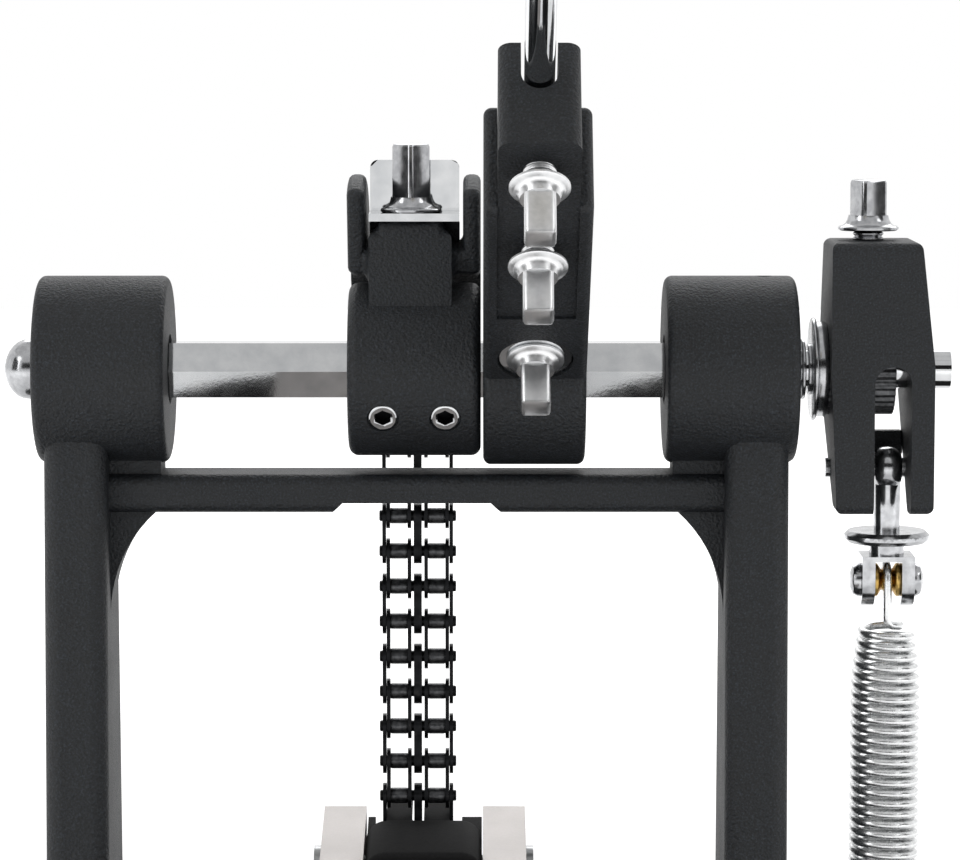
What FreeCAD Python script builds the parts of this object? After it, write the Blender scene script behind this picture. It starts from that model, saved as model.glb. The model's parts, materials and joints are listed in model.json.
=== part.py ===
"""A bass drum pedal with a double roller chain, in millimetres.

The origin is on the floor below the middle of the axle. +Z is up, the drummer sits at -Y, the drum
stands at +Y and +X is the drummer's right. The pedal is drawn at rest: footboard up, beater back.
"""
import FreeCAD, Part
import math
import os
import re
import Sketcher
from FreeCAD import Placement, Rotation, Vector

doc = FreeCAD.newDocument("bass_drum_pedal")
sheet = doc.addObject("Spreadsheet::Sheet", "Sizes")

# Driving sizes, all lengths in millimetres, angles in degrees
SIZES = {
    # whole pedal
    "axle_height": 205.0, "running_gap": 0.05, "seat_gap": 0.3, "overrun": 2.0,
    "edge_round": 2.0, "soft_round": 3.0,
    # floor plate and its mat
    "mat_thick": 3.0, "plate_thick": 4.0, "mat_inset": 3.0, "plate_heel_half": 41.0,
    "plate_heel_end": -303.0, "plate_waist_half": 31.0, "plate_waist_start": -205.0,
    "plate_waist_end": -95.0, "plate_margin": 12.0, "plate_front_start": -40.0,
    "plate_front_end": 54.0, "plate_lip_half": 62.0, "plate_lip_end": 86.0,
    "plate_slot_half": 12.0, "plate_slot_start": -190.0, "plate_slot_end": -75.0,
    # cast frame
    "boss_radius": 24.0, "boss_inner": 63.5, "boss_outer": 97.0, "boss_bore": 9.0,
    "post_inner": 78.7, "post_outer": 94.8, "post_top_half": 16.0, "post_foot_half": 25.0,
    "bar_drop": 26.4, "bar_height": 9.8, "bar_half_depth": 10.0, "bar_relief": 2.6,
    "bar_relief_half": 19.0, "gusset_reach": 11.8, "gusset_height": 26.5, "gusset_half_depth": 7.0,
    "foot_inner": 70.0, "foot_outer": 103.0, "foot_half_depth": 33.0, "foot_thick": 10.0,
    "lug_drop": 28.0, "lug_thick": 10.0, "lug_half_depth": 11.0,
    "screw_radius": 3.0, "screw_length": 16.0, "screw_head_radius": 5.5, "screw_head_thick": 2.0,
    "foot_screw_x": 86.5, "foot_screw_y": 27.0,
    "spur_x": 95.0, "spur_y": 45.0, "spur_radius": 4.0, "spur_length": 30.0, "spur_point": 5.0,
    "spur_nut_thick": 5.0,
    # axle
    "hex_across": 14.0, "hex_half_length": 74.0, "journal_radius": 5.0,
    "journal_left": 99.5, "journal_right": 137.0, "bearing_radius": 13.0, "bearing_width": 8.0,
    "bearing_groove": 1.0, "bearing_land": 3.0,
    "cap_radius": 7.75, "cap_length": 8.5, "cap_bite": 2.0,
    "washer_radius": 7.8, "washer_thick": 1.0, "washer_set": 1.6, "spacer_radius": 6.6, "spacer_length": 1.0,
    "lip_radius": 13.3, "lip_thick": 0.9, "collar_radius": 12.3, "collar_thick": 4.9,
    # chain wheel
    "cam_x": -0.5, "cam_hub_radius": 22.2, "cam_half": 16.9, "ear_thick": 4.5, "ear_radius": 50.0,
    "rim_inner": 26.5, "rim_floor": 33.0, "cam_back_angle": 12.0, "cam_front_angle": 112.0,
    "neck_left": -11.5, "neck_right": 9.5, "neck_depth": 15.0, "neck_set": 0.5, "neck_top": 36.0,
    "tongue_left": -9.3, "tongue_right": 7.4, "web_half": 8.0,
    "grub_radius": 4.0, "grub_length": 11.0, "grub_socket": 4.0, "grub_socket_depth": 5.0,
    "grub_sunk": 1.0, "grub_angle": 30.0, "grub_spread": 7.9,
    # chrome chain plate and the square headed key bolts
    "shelf_top": 40.7, "shelf_thick": 2.0, "shelf_half": 11.4, "shelf_depth": 17.0,
    "shelf_gap": 5.6, "leg_top": 53.7,
    "bolt_square": 7.4, "bolt_head": 15.0, "bolt_flange": 7.75, "bolt_flange_thick": 1.7,
    "bolt_neck": 5.3, "bolt_neck_height": 1.4, "bolt_radius": 4.0, "bolt_tip": 1.2,
    "cam_bolt_x": -1.3, "cam_bolt_set": 10.2, "cam_bolt_shank": 12.0, "cam_bolt_angle": 45.0,
    "cam_bolt_head": 17.5,
    "rocker_bolt_head": 13.0, "rocker_bolt_angle": 25.0,
    # beater hub, block, rod and head
    "beater_lean_angle": 53.0, "hub_left": 17.0, "hub_width": 26.0, "hub_radius": 24.5,
    "hub_half_depth": 15.0, "hub_top": 95.0, "cheek_wall": 3.3, "hub_slot_low": 47.0,
    "beater_block_top": 120.5, "beater_block_half_depth": 14.2, "block_round": 3.2, "rod_radius": 3.6,
    "rod_offset": 5.5, "notch_half": 4.3, "notch_length": 30.0,
    "rod_low": 58.0, "rod_top": 196.0, "hub_bolt_low": 28.0, "hub_bolt_mid": 76.0,
    "hub_bolt_high": 109.0, "hub_bolt_lift": 4.0, "counterbore_radius": 9.5, "counterbore_depth": 2.5,
    "head_centre": 205.0, "felt_radius": 27.0, "felt_half": 20.0, "felt_round": 6.0,
    "core_radius": 12.0, "core_flange": 16.0, "core_flange_thick": 2.5,
    # spring rocker
    "rocker_left": 105.2, "rocker_right": 131.5, "rocker_top": 33.3, "rocker_bottom": -36.0,
    "rocker_front": -16.0, "rocker_back_top": 10.0, "rocker_back": 18.0, "rocker_back_high": 10.0,
    "rocker_back_low": -7.0, "rocker_toe": -7.0, "rocker_slot_left": 116.3, "rocker_slot_right": 125.7,
    "rocker_slot_top": 1.8, "rocker_taper": 3.5, "rocker_draft": 1.6, "bush_radius": 11.7, "bush_end": 122.2,
    "rocker_bolt_x": 115.7, "rocker_bolt_lift": 2.4,
    "rocker_pin_drop": 25.5, "rocker_pin_radius": 2.5,
    # hook and swivel
    "hook_x": 121.3, "eye_radius": 5.5, "eye_width": 7.0, "hook_shank": 3.3,
    "disc_radius": 11.0, "disc_thick": 3.0, "disc_drop": 43.3, "clevis_half": 6.75, "clevis_ear": 3.3,
    "clevis_half_depth": 6.6, "clevis_top_drop": 48.0, "clevis_bridge": 1.3, "clevis_stem": 4.5,
    "swivel_pin_drop": 54.7, "swivel_pin_radius": 2.2, "swivel_head_radius": 4.3,
    "swivel_pin_half": 9.5, "bobbin_flange": 4.3, "bobbin_groove": 2.6, "bobbin_groove_half": 1.3,
    # spring and its tension rod
    "wire_radius": 1.1, "coil_radius": 8.0, "coil_end_radius": 5.9, "coil_pitch": 2.7,
    "coil_top_drop": 66.3, "loop_radius": 3.9, "anchor_height": 50.0, "coil_stand_off": 9.0,
    "anchor_pin_radius": 2.0, "fork_base": 5.0, "lock_nut_across": 13.0, "lock_nut_thick": 5.5,
    "tension_knob_radius": 9.5, "tension_knob_thick": 9.0, "tension_rod_tail": 4.0,
    # double roller chain
    "chain_pitch": 9.525, "chain_radius": 38.0, "strand_spread": 5.065, "roller_width": 4.77,
    "roller_radius": 2.54, "link_plate": 1.25, "link_end_radius": 4.2, "link_waist": 2.9,
    "chain_pin_radius": 1.79, "chain_pin_half": 11.0, "link_gap": 0.12,
    "lug_inner": 1.6, "lug_outer": 8.5, "lug_radius": 4.1,
    # footboard and heel
    "board_x": 1.2, "heel_pin_y": -232.0, "heel_pin_height": 22.0, "heel_pin_radius": 3.0,
    "heel_pin_half": 34.0, "barrel_radius": 7.0, "barrel_half": 18.0, "heel_ear_end": 32.0,
    "board_top": 4.0, "board_thick": 7.0, "board_heel_half": 31.0, "board_mid_half": 46.0,
    "board_mid_start": 70.0, "board_mid_end": 170.0, "horn_root": 33.1, "horn_outer": 27.2,
    "horn_inner": 15.8, "horn_past_pin": 7.0, "horn_top": 4.0, "horn_thick": 14.0,
    "groove_width": 5.0, "groove_depth": 1.2, "groove_step": 14.0, "groove_half": 26.0,
    "toe_front": 30.0, "toe_back": 12.5, "toe_top": 6.2, "toe_side_top": -1.5, "toe_bottom": -8.0,
    "toe_gap": 0.3,
    "pocket_half": 11.8, "pocket_front": 7.0, "pin_slot_front": 2.3, "pin_slot_back": 8.6,
    "pin_slot_top": 3.4, "lug_roof": 1.1, "heel_thick": 8.0, "heel_half": 36.0, "heel_end": -300.0,
    "heel_start": -222.0, "heel_round": 14.0, "heel_screw_x": 26.0, "heel_screw_y": -285.0,
    "heel_screw_step": 38.0,
    # hoop clamp
    "clamp_pin_y": 64.0, "clamp_pin_height": 22.0, "clamp_pin_radius": 2.5, "clamp_barrel": 5.0,
    "clamp_barrel_half": 14.0, "clamp_ear": 7.0, "jaw_half": 28.0, "jaw_start": 70.3, "jaw_end": 88.0,
    "jaw_low": 22.5, "jaw_thick": 6.0, "jaw_tab_end": 58.0, "wing_x": 46.0, "wing_y": 77.0,
    "wing_radius": 4.0, "wing_hole": 5.6, "wing_flange": 6.5, "wing_lift": 1.3, "wing_stem": 12.0,
    "wing_span": 20.0, "wing_thick": 4.0, "wing_height": 13.0, "jaw_pad_thick": 3.0,
    "jaw_pad_start": 76.0,
}
CHAIN_LINKS_IN_RUN = 14
CHAIN_JOINTS = 5
BUSH_TEETH = 36
BOARD_GROOVES = 10
COIL_TAPER_TURNS = 7

for row, (alias, value) in enumerate(SIZES.items(), start=1):
    sheet.set(f"A{row}", alias)
    sheet.set(f"B{row}", str(value))
    sheet.setAlias(f"B{row}", alias)
doc.recompute()


# Helpers: every size reaches a feature as an expression on the sheet

def formula(text):
    """Writes the sheet's name before each of its aliases in an expression."""
    def full(word):
        return "Sizes." + word.group() if word.group() in SIZES else word.group()
    return re.sub(r"[a-z_]\w*", full, text)


def number(text):
    """The value of an expression on the sheet."""
    result = sheet.evalExpression(formula(text))
    return float(getattr(result, "Value", result))


def bind(thing, **formulas):
    for name, text in formulas.items():
        thing.setExpression(name, formula(text))


TURNS = {"x": Rotation(Vector(0, 1, 0), 90), "y": Rotation(Vector(1, 0, 0), -90), "z": Rotation()}
SKETCH_TURNS = {
    "x": Rotation(Vector(0, 1, 0), Vector(0, 0, 1), Vector(1, 0, 0), "ZXY"),
    "y": Rotation(Vector(1, 0, 0), Vector(0, 0, 1), Vector(0, -1, 0), "ZXY"),
    "z": Rotation(),
}


def place(thing, at, turn):
    """Turns a piece and binds its place to the sheet."""
    thing.Placement = Placement(Vector(), turn)
    for letter, text in zip("xyz", at):
        thing.setExpression("Placement.Base." + letter, formula(text))
    return thing


def rod(name, radius, length, at=("0", "0", "0"), along="z"):
    thing = doc.addObject("Part::Cylinder", name)
    bind(thing, Radius=radius, Height=length)
    return place(thing, at, TURNS[along])


def block(name, x, y, z):
    """A box between pairs of low and high expressions."""
    thing = doc.addObject("Part::Box", name)
    for side, (low, high) in zip(("Length", "Width", "Height"), (x, y, z)):
        thing.setExpression(side, formula(f"({high}) - ({low})"))
    return place(thing, (x[0], y[0], z[0]), TURNS["z"])


def prism(name, sides, across, length, at=("0", "0", "0"), along="z", spin=0):
    """A regular prism given across its flats, spun about its own axis in degrees."""
    thing = doc.addObject("Part::Prism", name)
    thing.Polygon = sides
    bind(thing, Circumradius=f"({across}) / 2 / cos(180 deg / {sides})", Height=length)
    return place(thing, at, TURNS[along] * Rotation(Vector(0, 0, 1), spin))


def outline(name, corners, turn, at=("0", "0", "0"), owner=doc):
    """A closed sketch of straight runs, each corner bound to a pair of expressions."""
    sketch = owner.addObject("Sketcher::SketchObject", name) if owner is doc else \
        owner.newObject("Sketcher::SketchObject", name)
    points = [Vector(number(u), number(v), 0) for u, v in corners]
    count = len(points)
    for index in range(count):
        sketch.addGeometry(Part.LineSegment(points[index], points[(index + 1) % count]), False)
    for index in range(count):
        sketch.addConstraint(Sketcher.Constraint("Coincident", index, 2, (index + 1) % count, 1))
    for index, (u, v) in enumerate(corners):
        across = sketch.addConstraint(Sketcher.Constraint("DistanceX", index, 1, points[index].x))
        sketch.setExpression(f"Constraints[{across}]", formula(u))
        upward = sketch.addConstraint(Sketcher.Constraint("DistanceY", index, 1, points[index].y))
        sketch.setExpression(f"Constraints[{upward}]", formula(v))
    return place(sketch, at, turn) if owner is doc else sketch


def extruded(name, facing, corners, low, high):
    """A flat outline pulled along the axis that it faces, from low to high."""
    start = high if facing == "y" else low
    at = {"x": (start, "0", "0"), "y": ("0", start, "0"), "z": ("0", "0", start)}[facing]
    thing = doc.addObject("Part::Extrusion", name)
    thing.Base = outline(name + "_outline", corners, SKETCH_TURNS[facing], at)
    thing.DirMode = "Normal"
    thing.Solid = True
    bind(thing, LengthFwd=f"({high}) - ({low})")
    return thing


def turned(name, corners, at=("0", "0", "0"), along="z", sweep="360", spin=0):
    """A half section of radius and height pairs turned about the axis named by along."""
    thing = doc.addObject("Part::Revolution", name)
    thing.Source = outline(name + "_section", corners, SKETCH_TURNS["y"])
    thing.Axis = Vector(0, 0, 1)
    thing.Solid = True
    bind(thing, Angle=sweep)
    return place(thing, at, TURNS[along] * Rotation(Vector(0, 0, 1), spin))


def join(name, *pieces):
    thing = doc.addObject("Part::MultiFuse", name)
    thing.Shapes = list(pieces)
    thing.Refine = True
    return thing


def cut(name, base, *tools):
    thing = doc.addObject("Part::Cut", name)
    thing.Base = base
    thing.Tool = tools[0] if len(tools) == 1 else join(name + "_tools", *tools)
    thing.Refine = True
    return thing


def rounded(name, base, radius, chosen):
    """Rounds the edges for which chosen(edge) holds."""
    doc.recompute()
    thing = doc.addObject("Part::Fillet", name)
    thing.Base = base
    size = number(radius)
    edges = enumerate(base.Shape.Edges, start=1)
    thing.Edges = [(index, size, size) for index, edge in edges if chosen(edge)]
    return thing


def straight(edge, axis):
    """True for a straight edge along a row axis."""
    if edge.Curve.TypeId != "Part::GeomLine":
        return False
    return abs(getattr(edge.tangentAt(edge.FirstParameter), axis)) > 0.999


def circular(edge):
    return edge.Curve.TypeId == "Part::GeomCircle"


finished = []


def node(name, thing, placement=None):
    """Names a finished sub-part, whose label is its file's name."""
    thing.Label = name
    if placement is not None:
        thing.Placement = placement
    finished.append(thing)
    return thing


def group(name, pieces, placement=None):
    """Separate solids that share one node."""
    thing = doc.addObject("Part::Compound", name)
    thing.Links = pieces
    return node(name, thing, placement)


FLOOR_TOP = "mat_thick + plate_thick"
AT_AXLE = Placement(Vector(0, 0, number("axle_height")), Rotation())
LEANING = Placement(Vector(0, 0, number("axle_height")),
                    Rotation(Vector(1, 0, 0), number("beater_lean_angle")))

HANDS = {"left": "-1", "right": "1"}
HEX_STAND = 90
PLATE_FRONT_HALF = "(spur_x + plate_margin)"
LUG_LOW = "(anchor_height - lug_drop)"

# The chain bends by this angle at each pin on the wheel; its end pin and the pin at the footboard
BEND = "(2 * asin(chain_pitch / 2 / chain_radius))"
END_PIN_Y = f"chain_radius * cos({CHAIN_JOINTS + 0.5} * {BEND})"
END_PIN_Z = f"chain_radius * sin({CHAIN_JOINTS + 0.5} * {BEND})"
SHELF_BACK = f"({END_PIN_Y} - shelf_gap)"
NECK_DEPTH = (f"{SHELF_BACK} - neck_set - neck_depth", f"{SHELF_BACK} - neck_set")
CAM_BOLT_Y = f"({SHELF_BACK} - cam_bolt_set)"
RUN_Y = "sqrt(chain_radius ^ 2 - (chain_pitch / 2) ^ 2)"
RUN_END_Z = f"(axle_height - {CHAIN_LINKS_IN_RUN - 0.5} * chain_pitch)"
REACH = f"sqrt(({RUN_Y} - heel_pin_y) ^ 2 + ({RUN_END_Z} - heel_pin_height) ^ 2)"
HORN_START = f"({REACH} - horn_root)"


def span(low, high, sign):
    """A pair of expressions on the right side, or its mirror on the left."""
    return (low, high) if sign == "1" else (f"-({high})", f"-({low})")


# Floor plate, mat and the screws that hold the castings down

def plate_corners(inset):
    right = [
        (f"plate_heel_half - ({inset})", f"plate_heel_end + ({inset})"),
        (f"plate_heel_half - ({inset})", "plate_waist_start"),
        (f"plate_waist_half - ({inset})", "plate_waist_start + plate_waist_half"),
        (f"plate_waist_half - ({inset})", "plate_waist_end"),
        (f"{PLATE_FRONT_HALF} - ({inset})", f"plate_front_start + ({inset})"),
        (f"{PLATE_FRONT_HALF} - ({inset})", f"plate_front_end - ({inset})"),
        (f"plate_lip_half - ({inset})", f"plate_front_end - ({inset})"),
        (f"plate_lip_half - ({inset})", f"plate_lip_end - ({inset})"),
    ]
    left = [(f"-({across})", along) for across, along in reversed(right)]
    return right + left


def origin_plane(body, role):
    return next(item for item in body.Origin.OriginFeatures if item.Role == role)


def hole_sketch(body, name, circles):
    """Circles on the body's own ground plane, each bound to its place and radius."""
    sketch = body.newObject("Sketcher::SketchObject", name)
    for across, along, radius in circles:
        centre = Vector(number(across), number(along), 0)
        ring = sketch.addGeometry(Part.Circle(centre, Vector(0, 0, 1), number(radius)), False)
        x = sketch.addConstraint(Sketcher.Constraint("DistanceX", ring, 3, centre.x))
        y = sketch.addConstraint(Sketcher.Constraint("DistanceY", ring, 3, centre.y))
        r = sketch.addConstraint(Sketcher.Constraint("Radius", ring, number(radius)))
        sketch.setExpression(f"Constraints[{x}]", formula(across))
        sketch.setExpression(f"Constraints[{y}]", formula(along))
        sketch.setExpression(f"Constraints[{r}]", formula(radius))
    return sketch


def on_ground(body, sketch):
    sketch.AttachmentSupport = (origin_plane(body, "XY_Plane"), [""])
    sketch.MapMode = "FlatFace"
    return sketch


def pocket(body, name, sketch):
    """Cuts a ground sketch upward through the whole body."""
    thing = body.newObject("PartDesign::Pocket", name)
    thing.Profile = sketch
    thing.Type = "ThroughAll"
    thing.Reversed = True
    return thing


def sheet_body(name, corners, thick, base_height, circles, slot=None):
    """A flat sheet with rounded corners, round holes and a slot."""
    body = doc.addObject("PartDesign::Body", name + "_body")
    pad = body.newObject("PartDesign::Pad", name + "_pad")
    pad.Profile = on_ground(body, outline(name + "_outline", corners, None, owner=body))
    bind(pad, Length=thick)
    doc.recompute()
    upright = [f"Edge{i}" for i, edge in enumerate(pad.Shape.Edges, start=1) if straight(edge, "z")]
    corner = body.newObject("PartDesign::Fillet", name + "_corners")
    corner.Base = (pad, upright)
    bind(corner, Radius="edge_round * 2")
    pocket(body, name + "_holes", on_ground(body, hole_sketch(body, name + "_hole_sketch", circles)))
    if slot:
        opening = outline(name + "_slot_outline", slot, None, owner=body)
        pocket(body, name + "_slot", on_ground(body, opening))
    place(body, ("0", "0", base_height), Rotation())
    return node(name, body)


FOOT_SCREWS = [(f"{sx} * foot_screw_x", f"{sy} * foot_screw_y") for sx in ("-1", "1") for sy in ("-1", "1")]
HEEL_SCREWS = [(f"{sx} * heel_screw_x + board_x", f"heel_screw_y + {step} * heel_screw_step")
               for sx in ("-1", "1") for step in ("0", "1")]
SPURS = [(f"{sx} * spur_x", "spur_y") for sx in ("-1", "1")]


def floor_sheets():
    screw_holes = [(x, y, "screw_radius + running_gap") for x, y in FOOT_SCREWS + HEEL_SCREWS]
    threads = [(x, y, "spur_radius + running_gap") for x, y in SPURS]
    threads.append(("wing_x", "wing_y", "wing_radius + running_gap"))
    slot = [("-plate_slot_half", "plate_slot_start"), ("plate_slot_half", "plate_slot_start"),
            ("plate_slot_half", "plate_slot_end"), ("-plate_slot_half", "plate_slot_end")]
    sheet_body("base_plate", plate_corners("0"), "plate_thick", "mat_thick", screw_holes + threads, slot)
    reliefs = [(x, y, "screw_head_radius + seat_gap") for x, y in FOOT_SCREWS + HEEL_SCREWS]
    reliefs += [(x, y, "spur_radius * 2") for x, y in SPURS]
    reliefs.append(("wing_x", "wing_y", "wing_radius * 2"))
    sheet_body("rubber_mat", plate_corners("mat_inset"), "mat_thick", "0", reliefs)


def countersunk(name, x, y):
    """A screw with a flat head under the plate."""
    corners = [("0", "-screw_head_thick"), ("screw_head_radius", "-screw_head_thick"),
               ("screw_head_radius", "0"), ("screw_radius", "0"), ("screw_radius", "screw_length"),
               ("0", "screw_length")]
    return turned(name, corners, (x, y, "mat_thick"))


def floor_screws():
    group("frame_screws", [countersunk(f"foot_screw_{i}", x, y) for i, (x, y) in enumerate(FOOT_SCREWS)])
    group("heel_screws", [countersunk(f"heel_screw_{i}", x, y) for i, (x, y) in enumerate(HEEL_SCREWS)])


def spur_screws():
    """Pointed floor spurs, each with a hexagon lock nut on the plate."""
    spurs = []
    nuts = []
    for index, (x, y) in enumerate(SPURS):
        corners = [("0", "0"), ("spur_radius", "spur_point"), ("spur_radius", "spur_length"),
                   ("0", "spur_length")]
        spurs.append(turned(f"spur_{index}", corners, (x, y, "edge_round / 2")))
        nut = prism(f"spur_nut_blank_{index}", 6, "spur_radius * 3.25", "spur_nut_thick", (x, y, FLOOR_TOP))
        hole = rod(f"spur_nut_hole_{index}", "spur_radius + running_gap", "spur_nut_thick + 2 * overrun",
                   (x, y, FLOOR_TOP + " - overrun"))
        nuts.append(cut(f"spur_nut_{index}", nut, hole))
    group("spur_screws", spurs)
    group("spur_nuts", nuts)


# Cast frame: two posts with bosses, joined by the crossbar

def frame_side(hand, sign):
    """One post, its boss, foot and gusset."""
    x = span("boss_inner", "boss_outer", sign)
    boss = rod(f"boss_blank_{hand}", "boss_radius", "boss_outer - boss_inner",
               (x[0], "0", "axle_height"), "x")
    boss = rounded(f"boss_{hand}", boss, "edge_round", circular)
    x = span("post_inner", "post_outer", sign)
    sides = [("-post_foot_half", FLOOR_TOP), ("post_foot_half", FLOOR_TOP),
             ("post_top_half", "axle_height"), ("-post_top_half", "axle_height")]
    post = extruded(f"post_blank_{hand}", "x", sides, *x)
    post = rounded(f"post_{hand}", post, "soft_round * 1.5",
                   lambda edge: abs(edge.tangentAt(edge.FirstParameter).z) > 0.9)
    foot = block(f"foot_blank_{hand}", span("foot_inner", "foot_outer", sign),
                 ("-foot_half_depth", "foot_half_depth"), (FLOOR_TOP, FLOOR_TOP + " + foot_thick"))
    foot = rounded(f"foot_{hand}", foot, "soft_round * 1.5", lambda edge: straight(edge, "z"))
    arc = "((gusset_reach ^ 2 + gusset_height ^ 2) / (2 * gusset_reach))"
    under_bar = "axle_height - bar_drop - bar_height"
    web = block(f"gusset_blank_{hand}", span("post_inner - gusset_reach", "post_inner + overrun", sign),
                ("-gusset_half_depth", "gusset_half_depth"), (under_bar + " - gusset_height", under_bar))
    scoop = rod(f"gusset_scoop_{hand}", arc, "2 * gusset_half_depth + 2 * overrun",
                (f"{sign} * (post_inner - {arc})", "-gusset_half_depth - overrun",
                 under_bar + " - gusset_height"), "y")
    brace = block(f"boss_brace_{hand}", span("boss_inner + edge_round", "post_inner + overrun", sign),
                  ("-gusset_half_depth", "gusset_half_depth"), (under_bar, "axle_height - boss_radius / 2"))
    return [boss, post, foot, brace, cut(f"gusset_{hand}", web, scoop)]


def cast_frame():
    solids = []
    for hand, sign in HANDS.items():
        solids += frame_side(hand, sign)
    bar_top = "axle_height - bar_drop"
    bar = block("bar_blank", ("-post_inner - overrun", "post_inner + overrun"),
                ("-bar_half_depth", "bar_half_depth"), (bar_top + " - bar_height", bar_top))
    bar = rounded("bar_rounded", bar, "soft_round", lambda edge: straight(edge, "x"))
    slant = "bar_relief"
    relief = extruded("bar_relief_blank", "y", [
        (f"-bar_relief_half - {slant}", bar_top + " - bar_height"),
        (f"bar_relief_half + {slant}", bar_top + " - bar_height"),
        ("bar_relief_half", bar_top + " - bar_height + bar_relief"),
        ("-bar_relief_half", bar_top + " - bar_height + bar_relief"),
    ], "-bar_half_depth - overrun", "bar_half_depth + overrun")
    solids.append(cut("bar", bar, relief))
    lug_end = "hook_x + lug_half_depth"
    lug = block("lug_blank", ("post_inner", lug_end), ("-lug_half_depth", "lug_half_depth"),
                (LUG_LOW, LUG_LOW + " + lug_thick"))
    solids.append(rounded("lug", lug, "soft_round * 2",
                          lambda edge: straight(edge, "z") and edge.CenterOfMass.x > number("hook_x")))
    body = join("frame_solids", *solids)
    holes = [rod("axle_bore", "boss_bore", "2 * boss_outer + 2 * overrun",
                 ("-boss_outer - overrun", "0", "axle_height"), "x")]
    for hand, sign in HANDS.items():
        x = span("boss_outer - bearing_width", "boss_outer + overrun", sign)
        holes.append(rod(f"bearing_seat_{hand}", "bearing_radius + running_gap",
                         "bearing_width + overrun", (x[0], "0", "axle_height"), "x"))
    for index, (x, y) in enumerate(FOOT_SCREWS):
        holes.append(rod(f"foot_thread_{index}", "screw_radius + running_gap", "screw_length + overrun",
                         (x, y, "mat_thick")))
    holes.append(rod("tension_hole", "bolt_radius + running_gap", "lug_thick + 2 * overrun",
                     ("hook_x", "0", LUG_LOW + " - overrun")))
    holes.append(rod("oil_hole", "edge_round", "boss_radius",
                     ("boss_outer - bearing_width", "0", "axle_height + bearing_radius + edge_round")))
    node("h_frame", cut("frame_casting", body, *holes))


# Axle, its bearings and what sits between the bosses and the rocker

def axle_set():
    hexagon = prism("axle_hexagon", 6, "hex_across", "2 * hex_half_length",
                    ("-hex_half_length", "0", "axle_height"), "x", HEX_STAND)
    left = rod("journal_left_rod", "journal_radius", "journal_left - hex_half_length + overrun",
               ("-journal_left", "0", "axle_height"), "x")
    right = rod("journal_right_rod", "journal_radius", "journal_right - hex_half_length + overrun",
                ("hex_half_length - overrun", "0", "axle_height"), "x")
    node("hex_axle", join("axle_steel", hexagon, left, right))
    groove = "bearing_radius - bearing_land"
    inner = "journal_radius + bearing_land"
    side = "bearing_width - bearing_groove"
    for hand, sign in HANDS.items():
        corners = [("journal_radius + running_gap", "0"), ("bearing_radius", "0"),
                   ("bearing_radius", "bearing_width"), (groove, "bearing_width"), (groove, side),
                   (inner, side), (inner, "bearing_width"),
                   ("journal_radius + running_gap", "bearing_width")]
        x = span("boss_outer - bearing_width", "boss_outer", sign)
        start = x[0] if sign == "1" else x[1]
        ring = turned(f"bearing_ring_{hand}", corners, (start, "0", "axle_height"), "x")
        if sign == "-1":
            ring.Placement = Placement(Vector(), Rotation(Vector(0, 1, 0), -90))
        node(f"bearing_{hand}", ring)
    cap = [("0", "0"), ("cap_radius * 0.6", "0"), ("cap_radius * 0.9", "cap_length * 0.25"),
           ("cap_radius", "cap_length * 0.6"), ("cap_radius", "cap_length"),
           ("journal_radius + running_gap", "cap_length"),
           ("journal_radius + running_gap", "cap_length - cap_bite - running_gap"),
           ("0", "cap_length - cap_bite - running_gap")]
    cap_end = "-journal_left + cap_bite - cap_length"
    node("axle_cap", turned("cap_turned", cap, (cap_end, "0", "axle_height"), "x"))
    bore = "journal_radius + running_gap"
    blunt = "edge_round / 4"
    ring = [(bore, "0"), (f"washer_radius - {blunt}", "0"), ("washer_radius", blunt),
            ("washer_radius", "washer_thick"), (bore, "washer_thick")]
    node("thrust_washer", turned("washer_turned", ring, ("boss_outer + washer_set", "0", "axle_height"), "x"))
    lip_end = "spacer_length + lip_thick"
    steps = [(bore, "0"), ("spacer_radius", "0"), ("spacer_radius", "spacer_length"),
             (f"lip_radius - {blunt}", "spacer_length"), ("lip_radius", f"spacer_length + {blunt}"),
             ("lip_radius", lip_end), ("collar_radius", lip_end),
             ("collar_radius", f"collar_thick - {blunt}"), (f"collar_radius - {blunt}", "collar_thick"),
             (bore, "collar_thick")]
    start = ("rocker_left - collar_thick", "0", "axle_height")
    node("axle_collar", turned("collar_turned", steps, start, "x"))

# Chain wheel on the axle, with the plate and bolt that hold the chain's end

def key_bolt(name, shank, head, turn="0"):
    """A square headed bolt along +Z with its flange's under face at zero."""
    corner = "bolt_square * 0.66"
    stalk = turned(name + "_stalk", [
        ("0", f"-({shank})"), ("bolt_radius", f"-({shank})"), ("bolt_radius", "0"), ("bolt_flange", "0"),
        ("bolt_flange", "bolt_flange_thick * 0.6"), ("bolt_flange - edge_round / 4", "bolt_flange_thick"),
        ("bolt_neck", "bolt_flange_thick"), ("bolt_neck", "bolt_flange_thick + bolt_neck_height"),
        ("0", "bolt_flange_thick + bolt_neck_height")])
    square = prism(name + "_square", 4, "bolt_square", head, spin=45 + number(turn))
    turned_tip = turned(name + "_tip", [
        ("0", "0"), (corner, "0"), (corner, f"{head} - bolt_tip"), (f"{corner} - bolt_tip", head),
        ("0", head)])
    headed = doc.addObject("Part::Common", name + "_head")
    headed.Base = square
    headed.Tool = turned_tip
    return join(name, stalk, headed)


def hexagon_bore(name, spin):
    return prism(name, 6, "hex_across + 2 * running_gap", "2 * hex_half_length",
                 ("-hex_half_length", "0", "0"), "x", spin)


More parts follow.
